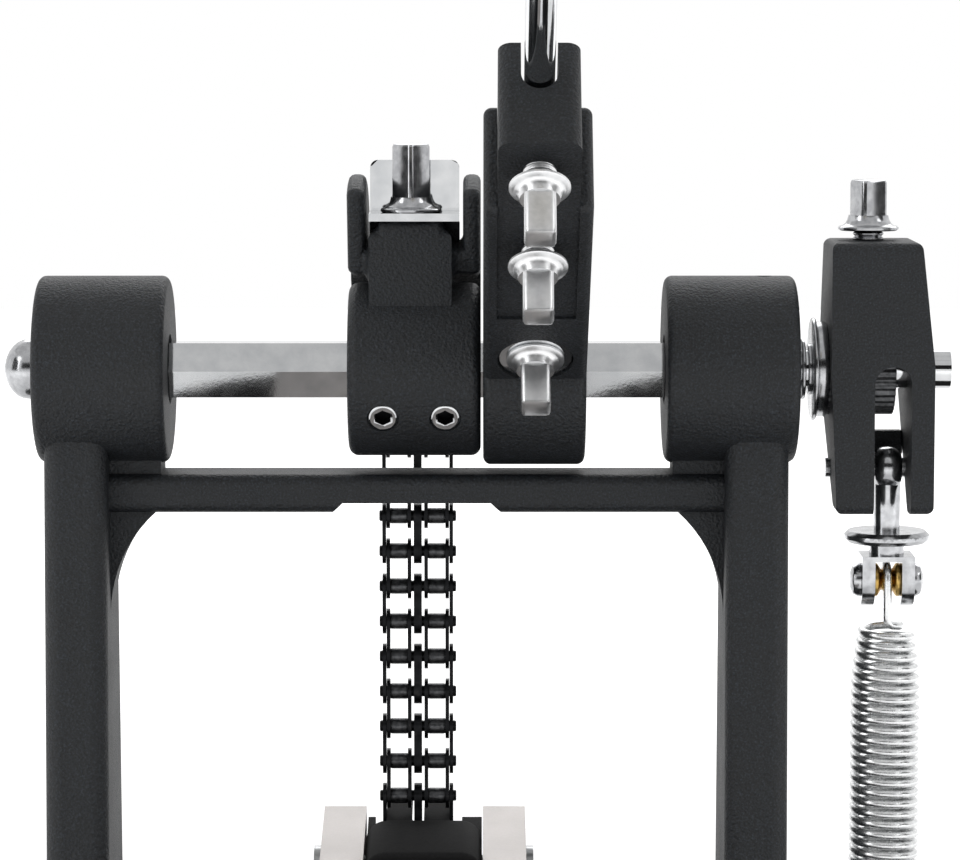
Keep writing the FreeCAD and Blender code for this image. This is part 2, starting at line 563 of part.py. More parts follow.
def chain_cam():
    left = "cam_x - cam_half"
    hub = rod("cam_hub_blank", "cam_hub_radius", "2 * cam_half", (left, "0", "0"), "x")
    hub = rounded("cam_hub", hub, "edge_round * 1.25", circular)
    ear = "cam_half - ear_thick"
    channel = turned("cam_rim", [
        ("rim_inner", "-cam_half"), ("ear_radius", "-cam_half"), ("ear_radius", f"-({ear})"),
        ("rim_floor", f"-({ear})"), ("rim_floor", ear), ("ear_radius", ear), ("ear_radius", "cam_half"),
        ("rim_inner", "cam_half")], ("cam_x", "0", "0"), "x",
        "cam_front_angle - cam_back_angle", 90 + number("cam_back_angle"))
    web = turned("cam_web", [
        ("cam_hub_radius / 2", "-web_half"), ("rim_inner + overrun", "-web_half"),
        ("rim_inner + overrun", "web_half"), ("cam_hub_radius / 2", "web_half")],
        ("cam_x", "0", "0"), "x", "cam_front_angle - cam_back_angle", 90 + number("cam_back_angle"))
    neck = block("cam_neck", ("cam_x + neck_left", "cam_x + neck_right"), NECK_DEPTH, ("0", "neck_top"))
    tongue = block("cam_tongue", ("cam_x + tongue_left", "cam_x + tongue_right"), NECK_DEPTH,
                   ("neck_top - overrun", "shelf_top - shelf_thick"))
    lugs = []
    for hand, sign in HANDS.items():
        x = span("lug_inner", "lug_outer", sign)
        low = f"cam_x + {x[0]}"
        lugs.append(rod(f"cam_lug_{hand}", "lug_radius", "lug_outer - lug_inner",
                        (low, END_PIN_Y, END_PIN_Z), "x"))
        lugs.append(block(f"cam_lug_web_{hand}", (low, f"cam_x + {x[1]}"),
                          (f"{END_PIN_Y} - lug_radius", f"{END_PIN_Y} + lug_radius"),
                          ("rim_inner + overrun", END_PIN_Z)))
    solid = join("cam_solid", hub, channel, web, neck, tongue, *lugs)
    holes = [hexagon_bore("cam_hexagon", HEX_STAND)]
    holes.append(rod("cam_end_pin_hole", "chain_pin_radius + running_gap", "2 * lug_outer + overrun",
                     ("cam_x - lug_outer - overrun / 2", END_PIN_Y, END_PIN_Z), "x"))
    holes.append(rod("cam_bolt_hole", "bolt_radius + running_gap", "cam_bolt_shank + overrun",
                     ("cam_bolt_x", CAM_BOLT_Y, "shelf_top - cam_bolt_shank - running_gap")))
    screws = []
    for hand, sign in HANDS.items():
        at = Vector(number(f"cam_x + {sign} * grub_spread"), 0, 0)
        turn = Rotation(Vector(1, 0, 0), 90 + number("grub_angle"))
        hole = rod(f"grub_hole_{hand}", "grub_radius + running_gap", "cam_hub_radius + overrun")
        bored = doc.addObject("Part::Compound", f"grub_bore_{hand}")
        bored.Links = [hole]
        bored.Placement = Placement(at, turn)
        holes.append(bored)
        top = "cam_hub_radius - grub_sunk"
        blank = rod(f"grub_blank_{hand}", "grub_radius", "grub_length", ("0", "0", f"{top} - grub_length"))
        socket = prism(f"grub_socket_{hand}", 6, "grub_socket", "grub_socket_depth + overrun",
                       ("0", "0", f"{top} - grub_socket_depth"))
        screw = cut(f"grub_{hand}", blank, socket)
        screw.Placement = AT_AXLE * Placement(at, turn)
        screws.append(screw)
    node("chain_cam", cut("cam_casting", solid, *holes), AT_AXLE)
    group("cam_grub_screws", screws)


def chain_plate():
    low = "axle_height + shelf_top - shelf_thick"
    across = ("cam_x - shelf_half", "cam_x + shelf_half")
    shelf = block("shelf", across, (f"{SHELF_BACK} - shelf_depth", SHELF_BACK),
                  (low, "axle_height + shelf_top"))
    leg = block("shelf_leg", across, (f"{SHELF_BACK} - shelf_thick", SHELF_BACK),
                (low, "axle_height + leg_top"))
    near_top = number("axle_height + leg_top - overrun")
    bent = rounded("shelf_bent", join("shelf_solid", shelf, leg), "edge_round",
                   lambda edge: straight(edge, "y") and edge.CenterOfMass.z > near_top)
    hole = rod("shelf_hole", "bolt_radius + running_gap", "shelf_thick + 2 * overrun",
               ("cam_bolt_x", CAM_BOLT_Y, low + " - overrun"))
    node("chain_plate", cut("shelf_cut", bent, hole))
    bolt = key_bolt("cam_bolt", "cam_bolt_shank", "cam_bolt_head", "cam_bolt_angle")
    where = [number(text) for text in ("cam_bolt_x", CAM_BOLT_Y, "axle_height + shelf_top")]
    node("cam_key_bolt", bolt, Placement(Vector(*where), Rotation()))


# Beater: hub on the axle, sliding block, rod and felt head, drawn upright and then leaned back

HUB_MIDDLE = "hub_left + hub_width / 2"


def beater_hub():
    across = ("hub_left", "hub_left + hub_width")
    end = rod("hub_end_blank", "hub_radius", "hub_width", ("hub_left", "0", "0"), "x")
    end = rounded("hub_end", end, "edge_round", circular)
    arm = block("hub_arm_blank", across, ("-hub_half_depth", "hub_half_depth"), ("0", "hub_top"))
    arm = rounded("hub_arm", arm, "edge_round",
                  lambda edge: edge.CenterOfMass.z > number("overrun"))
    slot = block("hub_slot", ("hub_left + cheek_wall", "hub_left + hub_width - cheek_wall"),
                 ("-hub_half_depth - overrun", "hub_half_depth + overrun"),
                 ("hub_slot_low", "hub_top + overrun"))
    bore = hexagon_bore("hub_hexagon", HEX_STAND - number("beater_lean_angle"))
    seat = rod("hub_counterbore", "counterbore_radius", "counterbore_depth + hub_half_depth",
               (HUB_MIDDLE, "-2 * hub_half_depth", "hub_bolt_low"), "y")
    thread = rod("hub_thread", "bolt_radius + running_gap", "hub_half_depth",
                 (HUB_MIDDLE, "-hub_half_depth", "hub_bolt_low"), "y")
    node("beater_hub", cut("hub_casting", join("hub_solid", end, arm), slot, bore, seat, thread), LEANING)


def beater_block():
    face = "beater_block_half_depth"
    inset = "cheek_wall + running_gap"
    blank = block("beater_block_blank", (f"hub_left + {inset}", f"hub_left + hub_width - ({inset})"),
                  (f"-{face}", face), ("hub_slot_low", "beater_block_top"))
    blank = rounded("beater_block_rounded", blank, "block_round",
                    lambda edge: straight(edge, "y")
                    and edge.CenterOfMass.z > number("beater_block_top - overrun"))
    tools = [rod("rod_hole", "rod_radius + running_gap", "beater_block_top",
                 (HUB_MIDDLE, "rod_offset", "rod_low - running_gap"))]
    notch_low = "beater_block_top - notch_length"
    tools.append(rod("rod_notch_end", "notch_half", "notch_length + overrun",
                     (HUB_MIDDLE, "rod_offset", notch_low)))
    tools.append(block("rod_notch", (f"{HUB_MIDDLE} - notch_half", f"{HUB_MIDDLE} + notch_half"),
                       ("rod_offset", f"{face} + overrun"), (notch_low, "beater_block_top + overrun")))
    for which in ("mid", "high"):
        tools.append(rod(f"block_thread_{which}", "bolt_radius + running_gap", f"{face} + rod_offset",
                         (HUB_MIDDLE, f"-{face}", f"hub_bolt_{which}"), "y"))
    node("beater_block", cut("beater_block_cut", blank, *tools), LEANING)


def hub_bolts():
    face = "beater_block_half_depth + hub_bolt_lift"
    seat = "hub_half_depth - counterbore_depth + bolt_flange_thick"
    spots = {"low": (seat, seat + " - hub_half_depth / 2 - edge_round"),
             "mid": (face, face + " + rod_offset - rod_radius - running_gap"),
             "high": (face, face + " + rod_offset - rod_radius - running_gap")}
    bolts = []
    for which, (depth, shank) in spots.items():
        bolt = key_bolt(f"hub_bolt_{which}_steel", shank, "bolt_head")
        where = Vector(number(HUB_MIDDLE), -number(depth), number(f"hub_bolt_{which}"))
        bolt.Placement = LEANING * Placement(where, Rotation(Vector(1, 0, 0), 90))
        bolts.append(bolt)
    group("hub_key_bolts", bolts)
    inner, outer, thick = "bolt_radius + running_gap", "counterbore_radius - seat_gap", "bolt_flange_thick"
    ring = [(inner, "0"), (outer, "0"), (outer, thick), (inner, thick)]
    washer = turned("hub_washer_ring", ring, (HUB_MIDDLE, f"-({seat})", "hub_bolt_low"), "y")
    group("hub_bolt_washer", [washer], LEANING)


def beater_head():
    steel = rod("beater_rod_steel", "rod_radius", "rod_top - rod_low",
                (HUB_MIDDLE, "rod_offset", "rod_low"))
    group("beater_rod", [steel], LEANING)
    at = (HUB_MIDDLE, "rod_offset", "head_centre")
    inner = "core_radius + running_gap"
    felt = turned("felt_turned", [
        (inner, "-felt_half"), ("felt_radius - felt_round", "-felt_half"),
        ("felt_radius", "felt_round - felt_half"), ("felt_radius", "felt_half - felt_round"),
        ("felt_radius - felt_round", "felt_half"), (inner, "felt_half")], at, "y")
    hole = rod("felt_rod_hole", "rod_radius + seat_gap", "felt_radius + overrun",
               (HUB_MIDDLE, "rod_offset", "head_centre - felt_radius - overrun"))
    node("beater_felt", cut("felt_cut", felt, hole), LEANING)
    back = "-felt_half - core_flange_thick"
    core = turned("core_turned", [
        ("0", back), ("core_flange", back), ("core_flange", "-felt_half"), ("core_radius", "-felt_half"),
        ("core_radius", "felt_half - edge_round"), ("0", "felt_half - edge_round")], at, "y")
    seat = rod("core_rod_hole", "rod_radius + running_gap",
               "rod_top + running_gap - head_centre + core_radius * 2",
               (HUB_MIDDLE, "rod_offset", "head_centre - core_radius * 2"))
    node("beater_core", cut("core_cut", core, seat), LEANING)


# Spring rocker on the axle's right end

def spring_rocker():
    side = extruded("rocker_side_blank", "x", [
        ("rocker_front", "rocker_bottom"), ("rocker_toe", "rocker_bottom"),
        ("rocker_back", "rocker_back_low"), ("rocker_back", "rocker_back_high"),
        ("rocker_back_top", "rocker_top"), ("rocker_front", "rocker_top")], "rocker_left", "rocker_right")
    side = rounded("rocker_side", side, "soft_round", lambda edge: straight(edge, "x"))
    depth = ("rocker_front - overrun", "rocker_back + overrun")
    face = extruded("rocker_face_blank", "y", [
        ("rocker_left + rocker_draft", "rocker_bottom"), ("rocker_right", "rocker_bottom"),
        ("rocker_right", "rocker_slot_top"), ("rocker_right - rocker_taper", "rocker_top"),
        ("rocker_left", "rocker_top"), ("rocker_left", "rocker_slot_top")], *depth)
    face = rounded("rocker_face", face, "edge_round", lambda edge: straight(edge, "y"))
    blank = doc.addObject("Part::Common", "rocker_blank")
    blank.Base = side
    blank.Tool = face
    arch = "(rocker_slot_right - rocker_slot_left) / 2"
    tools = [block("rocker_slot", ("rocker_slot_left", "rocker_slot_right"), depth,
                   ("rocker_bottom - overrun", f"rocker_slot_top - {arch}"))]
    tools.append(rod("rocker_slot_arch", arch, "rocker_back - rocker_front + 2 * overrun",
                     (f"rocker_slot_left + {arch}", depth[0], f"rocker_slot_top - {arch}"), "y"))
    tools.append(rod("rocker_bore", "bush_radius + running_gap",
                     "rocker_slot_right - rocker_left + overrun",
                     ("rocker_left - overrun", "0", "0"), "x"))
    tools.append(rod("rocker_axle_hole", "journal_radius + running_gap",
                     "rocker_right - rocker_left + overrun",
                     ("rocker_left", "0", "0"), "x"))
    tools.append(rod("rocker_thread", "bolt_radius + running_gap", "rocker_top + overrun",
                     ("rocker_bolt_x", "0", "0")))
    tools.append(rod("rocker_pin_hole", "rocker_pin_radius + running_gap",
                     "rocker_right - rocker_left + 2 * overrun",
                     ("rocker_left - overrun", "0", "-rocker_pin_drop"), "x"))
    node("spring_rocker", cut("rocker_casting", blank, *tools), AT_AXLE)
    steps = BUSH_TEETH // 6
    teeth = [prism(f"bush_tooth_{step}", 6, "2 * bush_radius * cos(30 deg)", "bush_end - rocker_left",
                   ("rocker_left", "0", "0"), "x", step * 60 / steps) for step in range(steps)]
    hole = rod("bush_hole", "journal_radius + running_gap", "bush_end - rocker_left + 2 * overrun",
               ("rocker_left - overrun", "0", "0"), "x")
    node("rocker_bush", cut("bush_cut", join("bush_solid", *teeth), hole), AT_AXLE)
    shank = "rocker_top + rocker_bolt_lift - bush_radius - running_gap"
    bolt = key_bolt("rocker_bolt", shank, "rocker_bolt_head", "rocker_bolt_angle")
    where = [number(text) for text in ("rocker_bolt_x", "0", "axle_height + rocker_top + rocker_bolt_lift")]
    node("rocker_key_bolt", bolt, Placement(Vector(*where), Rotation()))
    node("rocker_pin", rod("rocker_pin_steel", "rocker_pin_radius", "rocker_right - rocker_left",
                           ("rocker_left", "0", "axle_height - rocker_pin_drop"), "x"))

# Hook, swivel and spring

def below(drop):
    return f"axle_height - ({drop})"


def hook_and_swivel():
    half = "eye_width / 2"
    eye = rod("eye_blank", "eye_radius", "eye_width",
              (f"hook_x - {half}", "0", below("rocker_pin_drop")), "x")
    eye = rounded("eye_rounded", eye, "edge_round / 2", circular)
    shank = rod("eye_shank", "hook_shank", "clevis_top_drop - rocker_pin_drop - seat_gap",
                ("hook_x", "0", below("clevis_top_drop - seat_gap")))
    hole = rod("eye_hole", "rocker_pin_radius + running_gap", "eye_width + 2 * overrun",
               (f"hook_x - {half} - overrun", "0", below("rocker_pin_drop")), "x")
    node("eye_hook", cut("eye_cut", join("eye_solid", eye, shank), hole))
    rim = "disc_thick / 3"
    top = "clevis_top_drop - disc_drop + disc_thick / 2"
    disc = turned("swivel_disc", [
        ("hook_shank + running_gap", "0"), ("clevis_stem", "0"), ("clevis_stem", f"{top} - disc_thick"),
        (f"disc_radius - {rim}", f"{top} - disc_thick"), ("disc_radius", f"{top} - disc_thick + {rim}"),
        ("disc_radius", f"{top} - {rim}"), (f"disc_radius - {rim}", top),
        ("hook_shank + running_gap", top)],
        ("hook_x", "0", below("clevis_top_drop")))
    depth = ("-clevis_half_depth", "clevis_half_depth")
    bridge = block("swivel_bridge", ("hook_x - clevis_half", "hook_x + clevis_half"), depth,
                   (below("clevis_top_drop + clevis_bridge"), below("clevis_top_drop")))
    solids = [disc, bridge]
    for hand, sign in HANDS.items():
        x = span("clevis_half - clevis_ear", "clevis_half", sign)
        across = (f"hook_x + {x[0]}", f"hook_x + {x[1]}")
        solids.append(block(f"swivel_ear_{hand}", across, depth,
                            (below("swivel_pin_drop"), below("clevis_top_drop"))))
        solids.append(rod(f"swivel_ear_end_{hand}", "clevis_half_depth", "clevis_ear",
                          (across[0], "0", below("swivel_pin_drop")), "x"))
    pin_hole = rod("swivel_pin_hole", "swivel_pin_radius + running_gap", "2 * clevis_half + 2 * overrun",
                   ("hook_x - clevis_half - overrun", "0", below("swivel_pin_drop")), "x")
    node("swivel_clevis", cut("swivel_cut", join("swivel_solid", *solids), pin_hole))
    riveted_pin("swivel_pin", "swivel_pin_half", "swivel_pin_radius", "swivel_head_radius",
                below("swivel_pin_drop"))
    half = "clevis_half - clevis_ear - running_gap"
    flange = "edge_round / 2"
    groove = [("swivel_pin_radius + running_gap", f"-({half})"), ("bobbin_flange", f"-({half})"),
              ("bobbin_flange", f"{flange} - ({half})"), ("bobbin_groove", "-bobbin_groove_half"),
              ("bobbin_groove", "bobbin_groove_half"), ("bobbin_flange", f"{half} - {flange}"),
              ("bobbin_flange", half), ("swivel_pin_radius + running_gap", half)]
    node("swivel_bobbin", turned("bobbin_turned", groove, ("hook_x", "0", below("swivel_pin_drop")), "x"))


def riveted_pin(name, half, radius, head, height):
    """A cross pin with a rounded head outside each ear of a fork."""
    seat = "clevis_half + running_gap"
    edge = "edge_round / 2"
    right = [(radius, seat), (head, seat), (head, f"{half} - {edge}"), (f"{head} - {edge}", half),
             ("0", half)]
    left = [(r, f"-({x})") for r, x in reversed(right)]
    node(name, turned(name + "_turned", right + left, ("hook_x", "0", height), "x"))


def tension_set():
    """Threaded rod with a fork, its lock nut and its thumb nut on the frame's lug."""
    lug_top = LUG_LOW + " + lug_thick"
    fork_low = f"{lug_top} + lock_nut_thick"
    low = LUG_LOW + " - tension_knob_thick - tension_rod_tail"
    solids = [rod("tension_thread", "bolt_radius", f"{fork_low} - ({low}) + fork_base",
                  ("hook_x", "0", low))]
    depth = ("-clevis_half_depth", "clevis_half_depth")
    solids.append(block("fork_bridge", ("hook_x - clevis_half", "hook_x + clevis_half"), depth,
                        (fork_low, f"{fork_low} + fork_base")))
    for hand, sign in HANDS.items():
        x = span("clevis_half - clevis_ear", "clevis_half", sign)
        across = (f"hook_x + {x[0]}", f"hook_x + {x[1]}")
        solids.append(block(f"fork_ear_{hand}", across, depth, (fork_low, "anchor_height")))
        solids.append(rod(f"fork_ear_end_{hand}", "clevis_half_depth", "clevis_ear",
                          (across[0], "0", "anchor_height"), "x"))
    hole = rod("fork_hole", "anchor_pin_radius + running_gap", "2 * clevis_half + 2 * overrun",
               ("hook_x - clevis_half - overrun", "0", "anchor_height"), "x")
    node("tension_rod", cut("fork_cut", join("fork_solid", *solids), hole))
    riveted_pin("anchor_pin", "swivel_pin_half", "anchor_pin_radius", "swivel_head_radius", "anchor_height")
    nut = prism("lock_nut_blank", 6, "lock_nut_across", "lock_nut_thick", ("hook_x", "0", lug_top))
    bore = rod("lock_nut_hole", "bolt_radius + running_gap", "lock_nut_thick + 2 * overrun",
               ("hook_x", "0", lug_top + " - overrun"))
    node("lock_nut", cut("lock_nut_cut", nut, bore))
    edge = "edge_round / 2"
    radius = "tension_knob_radius"
    thick = "tension_knob_thick"
    knob = [("bolt_radius + running_gap", "0"), (f"{radius} - {edge}", "0"), (radius, edge),
            (radius, f"{thick} - {edge}"), (f"{radius} - {edge}", thick),
            ("bolt_radius + running_gap", thick)]
    node("tension_knob", turned("tension_knob_turned", knob, ("hook_x", "0", f"{LUG_LOW} - {thick}")))


def biarc(start, start_way, end, end_way):
    """Two arcs that leave start along one direction and reach end along the other."""
    chord = end - start
    ways = start_way + end_way
    spread = 2 * (1 - start_way.dot(end_way))
    along = chord.dot(ways)
    if spread < 1e-9:
        reach = chord.dot(chord) / (2 * along)
    else:
        reach = (math.sqrt(along ** 2 + spread * chord.dot(chord)) - along) / spread
    first = start + start_way * reach
    second = end - end_way * reach
    middle = (first + second) * 0.5
    return [arc_through(start, first, middle), arc_through(middle, second, end)]


def arc_through(start, corner, end):
    """The arc that touches both legs of an even corner."""
    weight = (end - start).Length / 2 / (corner - start).Length
    top = (start + corner * (2 * weight) + end) * (1 / (2 + 2 * weight))
    if weight > 1 - 1e-7:
        return Part.LineSegment(start, end).toShape()
    return Part.Arc(start, top, end).toShape()


def spring_stations():
    """Points and directions along the spring's wire, a quarter turn apart."""
    radius, end_radius = number("coil_radius"), number("coil_end_radius")
    pitch, loop = number("coil_pitch"), number("loop_radius")
    low = number("anchor_height + coil_stand_off")
    high = number(below("coil_top_drop"))
    turns = round((high - low) / pitch) - 0.5
    anchor, bobbin = number("anchor_height"), number(below("swivel_pin_drop"))

    def on_loop(height, degrees):
        angle = math.radians(degrees)
        return (Vector(0, loop * math.cos(angle), height + loop * math.sin(angle)),
                Vector(0, -math.sin(angle), math.cos(angle)))

    def on_coil(quarter):
        done = quarter / 4
        taper = min(1.0, done / COIL_TAPER_TURNS, (turns - done) / COIL_TAPER_TURNS)
        bulge = math.sin(taper * math.pi / 2)
        size = end_radius + (radius - end_radius) * bulge
        angle = math.radians(135 + 90 * quarter)
        point = Vector(size * math.cos(angle), size * math.sin(angle), low + done * (high - low) / turns)
        way = Vector(-size * math.sin(angle), size * math.cos(angle), (high - low) / turns / math.tau)
        return point, way.normalize()

    stations = [on_loop(anchor, degrees) for degrees in (-225, -180, -90, 0)]
    stations += [on_coil(quarter) for quarter in range(int(4 * turns) + 1)]
    stations += [on_loop(bobbin, degrees) for degrees in (0, 90, 180, 225)]
    return stations


def coil_spring():
    stations = spring_stations()
    edges = []
    for (start, start_way), (end, end_way) in zip(stations, stations[1:]):
        edges += biarc(start, start_way, end, end_way)
    path = Part.Wire(edges)
    circle = Part.Circle(stations[0][0], stations[0][1], number("wire_radius"))
    profile = Part.Wire([circle.toShape()])
    solid = path.makePipeShell([profile], True, False)
    wire = doc.addObject("Part::Feature", "spring_wire")
    wire.Shape = solid
    node("coil_spring", wire, Placement(Vector(number("hook_x"), 0, 0), Rotation()))
    print_wire_gap(path)


def print_wire_gap(path):
    """Prints the least gap between parts of the wire that are not neighbours along it."""
    step = number("wire_radius")
    points = path.discretize(Distance=step)
    apart = math.ceil(number("wire_radius") * 5 / step)
    least = min((points[i] - points[j]).Length
                for i in range(len(points)) for j in range(i + apart, min(i + 60, len(points))))
    print("spring: least gap to itself", round(least - 2 * number("wire_radius"), 2), "mm")


# Double roller chain: one outer and one inner link, repeated along the wheel and the hanging run

def link_plate(name, low, high):
    """A waisted plate round two pins, cut to few sides because it repeats often."""
    end, waist = "link_end_radius", "link_waist"
    pin = "chain_pitch / 2"
    quarter = [(waist, f"{end} * 0.3"), (end, f"{pin} - {end} * 0.35"), (end, f"{pin} + {end} * 0.4"),
               (f"{end} * 0.45", f"{pin} + {end}")]
    upper = quarter + [(f"-({y})", z) for y, z in reversed(quarter)]
    lower = [(f"-({y})", f"-({z})") for y, z in upper]
    return extruded(name, "x", upper + lower, low, high)


def chain_rods(name, radius, low, high):
    ends = {"low": "-chain_pitch / 2", "high": "chain_pitch / 2"}
    return [rod(f"{name}_{end}", radius, f"({high}) - ({low})", (low, "0", z), "x")
            for end, z in ends.items()]


def outer_link():
    middle = "(strand_spread - roller_width / 2 - link_plate - link_gap)"
    side = "(strand_spread + roller_width / 2 + link_plate + link_gap)"
    plates = [link_plate("link_middle_plate", f"-{middle}", middle)]
    for hand, sign in HANDS.items():
        plates.append(link_plate(f"link_side_plate_{hand}", *span(side, f"{side} + link_plate", sign)))
    pins = chain_rods("link_pin", "chain_pin_radius", "-chain_pin_half", "chain_pin_half")
    return join("outer_link", *plates, *pins)


def inner_strand(hand, sign):
    near, far = span("strand_spread - roller_width / 2", "strand_spread + roller_width / 2", sign)
    plates = [link_plate(f"strand_{hand}_plate_low", f"{near} - link_plate", near),
              link_plate(f"strand_{hand}_plate_high", far, f"{far} + link_plate")]
    rollers = chain_rods(f"strand_{hand}_roller", "roller_radius", near, far)
    solid = join(f"strand_{hand}_solid", *plates, *rollers)
    bores = chain_rods(f"strand_{hand}_bore", "chain_pin_radius + running_gap",
                       f"{near} - 2 * link_plate", f"{far} + 2 * link_plate")
    return cut(f"strand_{hand}", solid, *bores)


def roller_chain():
    """Links are numbered down the chain: the wheel's own link, one per bend, then the hanging run."""
    outer = outer_link()
    strands = [inner_strand(hand, sign) for hand, sign in HANDS.items()]
    doc.recompute()
    bend = number(BEND)
    centre = Vector(number("cam_x"), number(RUN_Y), 0)

    def link_solids(place_number):
        """Solids of one link; its place counts bends above the hanging run, or links down it."""
        if place_number > 0:
            swing = Placement(Vector(), Rotation(Vector(1, 0, 0), bend * place_number))
            where = swing * Placement(centre, Rotation())
        else:
            drop = Vector(0, 0, number("chain_pitch") * place_number)
            where = Placement(centre + drop, Rotation())
        shapes = [outer.Shape] if place_number % 2 else [strand.Shape for strand in strands]
        return [shape.copy().transformed(where.Matrix) for shape in shapes]

    def chain_node(name, places):
        thing = doc.addObject("Part::Feature", name + "_links")
        thing.Shape = Part.makeCompound([solid for p in places for solid in link_solids(p)])
        node(name, thing, AT_AXLE)

    chain_node("chain_end_link", [CHAIN_JOINTS])
    for joint in range(1, CHAIN_JOINTS):
        chain_node(f"chain_link_{joint}", [CHAIN_JOINTS - joint])
    chain_node("chain_run", range(0, -CHAIN_LINKS_IN_RUN, -1))


# Footboard, drawn flat about its heel pin and then raised to the chain

def board_placement():
    rise = number(f"{RUN_END_Z} - heel_pin_height")
    slope = math.degrees(math.asin(rise / number(REACH)))
    return Placement(Vector(*(number(text) for text in ("board_x", "heel_pin_y", "heel_pin_height"))),
                     Rotation(Vector(1, 0, 0), slope))


def both_sides(right):
    return right + [(f"-({x})", y) for x, y in reversed(right)]


def footboard():
    tip = f"{REACH} + horn_past_pin"
    low = "board_top - board_thick"
    plate = extruded("board_plate", "z", both_sides([
        ("board_heel_half", "barrel_radius + overrun"), ("board_mid_half", "board_mid_start"),
        ("board_mid_half", "board_mid_end"), ("horn_outer", HORN_START), ("horn_outer", tip),
        ("horn_inner", tip), ("horn_inner", HORN_START)]), low, "board_top")
    horns_start = number(HORN_START + " - overrun")
    plate = rounded("board_plate_rounded", plate, "soft_round",
                    lambda edge: straight(edge, "z") and edge.CenterOfMass.y < horns_start)
    solids = [plate]
    for hand, sign in HANDS.items():
        horn = block(f"horn_blank_{hand}", span("horn_inner", "horn_outer", sign),
                     (HORN_START + " - horn_thick", tip), ("horn_top - horn_thick", "horn_top"))
        solids.append(rounded(f"horn_{hand}", horn, "edge_round", lambda edge: True))
    solids.append(rod("board_barrel", "barrel_radius", "2 * barrel_half", ("-barrel_half", "0", "0"), "x"))
    solids.append(block("board_neck", ("-barrel_half", "barrel_half"), ("0", "barrel_radius * 2"),
                        (low, "board_top")))
    grooves = []
    for index in range(BOARD_GROOVES):
        start = f"board_mid_start - groove_step + {index} * groove_step"
        grooves.append(block(f"board_groove_{index}", ("-groove_half", "groove_half"),
                             (start, f"{start} + groove_width"),
                             ("board_top - groove_depth", "board_top + overrun")))
    grooves.append(rod("board_pin_hole", "heel_pin_radius + running_gap", "2 * barrel_half + 2 * overrun",
                       ("-barrel_half - overrun", "0", "0"), "x"))
    grooves += toe_screw_rods("board_screw_hole", "running_gap")
    node("footboard", cut("board_cut", join("board_solid", *solids), *grooves), board_placement())


def toe_screw_rods(name, room):
    """Cross screws' shanks through each horn into the toe block."""
    y, z = f"{REACH} - toe_front / 2", "toe_bottom / 2"
    rods = []
    for hand, sign in HANDS.items():
        x = span("pocket_half / 2", "horn_outer + overrun", sign)
        rods.append(rod(f"{name}_{hand}", f"screw_radius + {room}",
                        "horn_outer + overrun - pocket_half / 2", (x[0], y, z), "x"))
    return rods


def toe_block():
    """Black block between the horns, with two lugs whose slots hold the chain's last pin."""
    across = ("toe_gap - horn_inner", "horn_inner - toe_gap")
    back = f"{REACH} + toe_back"
    wall = f"{REACH} - pocket_front"
    blank = block("toe_blank", across, (f"{REACH} - toe_front", back), ("toe_bottom", "toe_top"))
    blank = rounded("toe_rounded", blank, "soft_round",
                    lambda edge: edge.CenterOfMass.z > number("toe_top - overrun / 2"))
    centre = "cam_x - board_x"
    pocket_x = (f"{centre} - pocket_half", f"{centre} + pocket_half")
    hollow = block("toe_pocket", pocket_x, (wall, back + " + overrun"),
                   ("toe_bottom + soft_round", "toe_top + overrun"))
    step = block("toe_step", (f"{across[0]} - overrun", f"{across[1]} + overrun"),
                 (wall, back + " + overrun"), ("toe_side_top", "toe_top + overrun"))
    shell = cut("toe_shell", blank, hollow, step, *toe_screw_rods("toe_screw_hole", "running_gap"))
    lugs = []
    for hand, sign in HANDS.items():
        x = span("lug_inner", "lug_outer", sign)
        lugs.append(block(f"toe_lug_{hand}", (f"{centre} + {x[0]}", f"{centre} + {x[1]}"),
                          (f"{wall} - overrun", back), ("toe_bottom", "pin_slot_top + lug_roof")))
    window = block("toe_window", pocket_x, (f"{REACH} - pin_slot_front", f"{REACH} + pin_slot_back"),
                   ("-pin_slot_front", "pin_slot_top"))
    node("toe_block", join("toe_casting", shell, cut("toe_lugs", join("toe_lug_pair", *lugs), window)),
         board_placement())
    screws = []
    y, z = f"{REACH} - toe_front / 2", "toe_bottom / 2"
    heads = toe_screw_rods("toe_screw_shank", "0")
    for shank, (hand, sign) in zip(heads, HANDS.items()):
        x = span("horn_outer", "horn_outer + screw_head_thick", sign)
        head = rod(f"toe_screw_head_{hand}", "screw_head_radius", "screw_head_thick", (x[0], y, z), "x")
        screws.append(join(f"toe_screw_{hand}", shank, head))
    group("toe_screws", screws, board_placement())


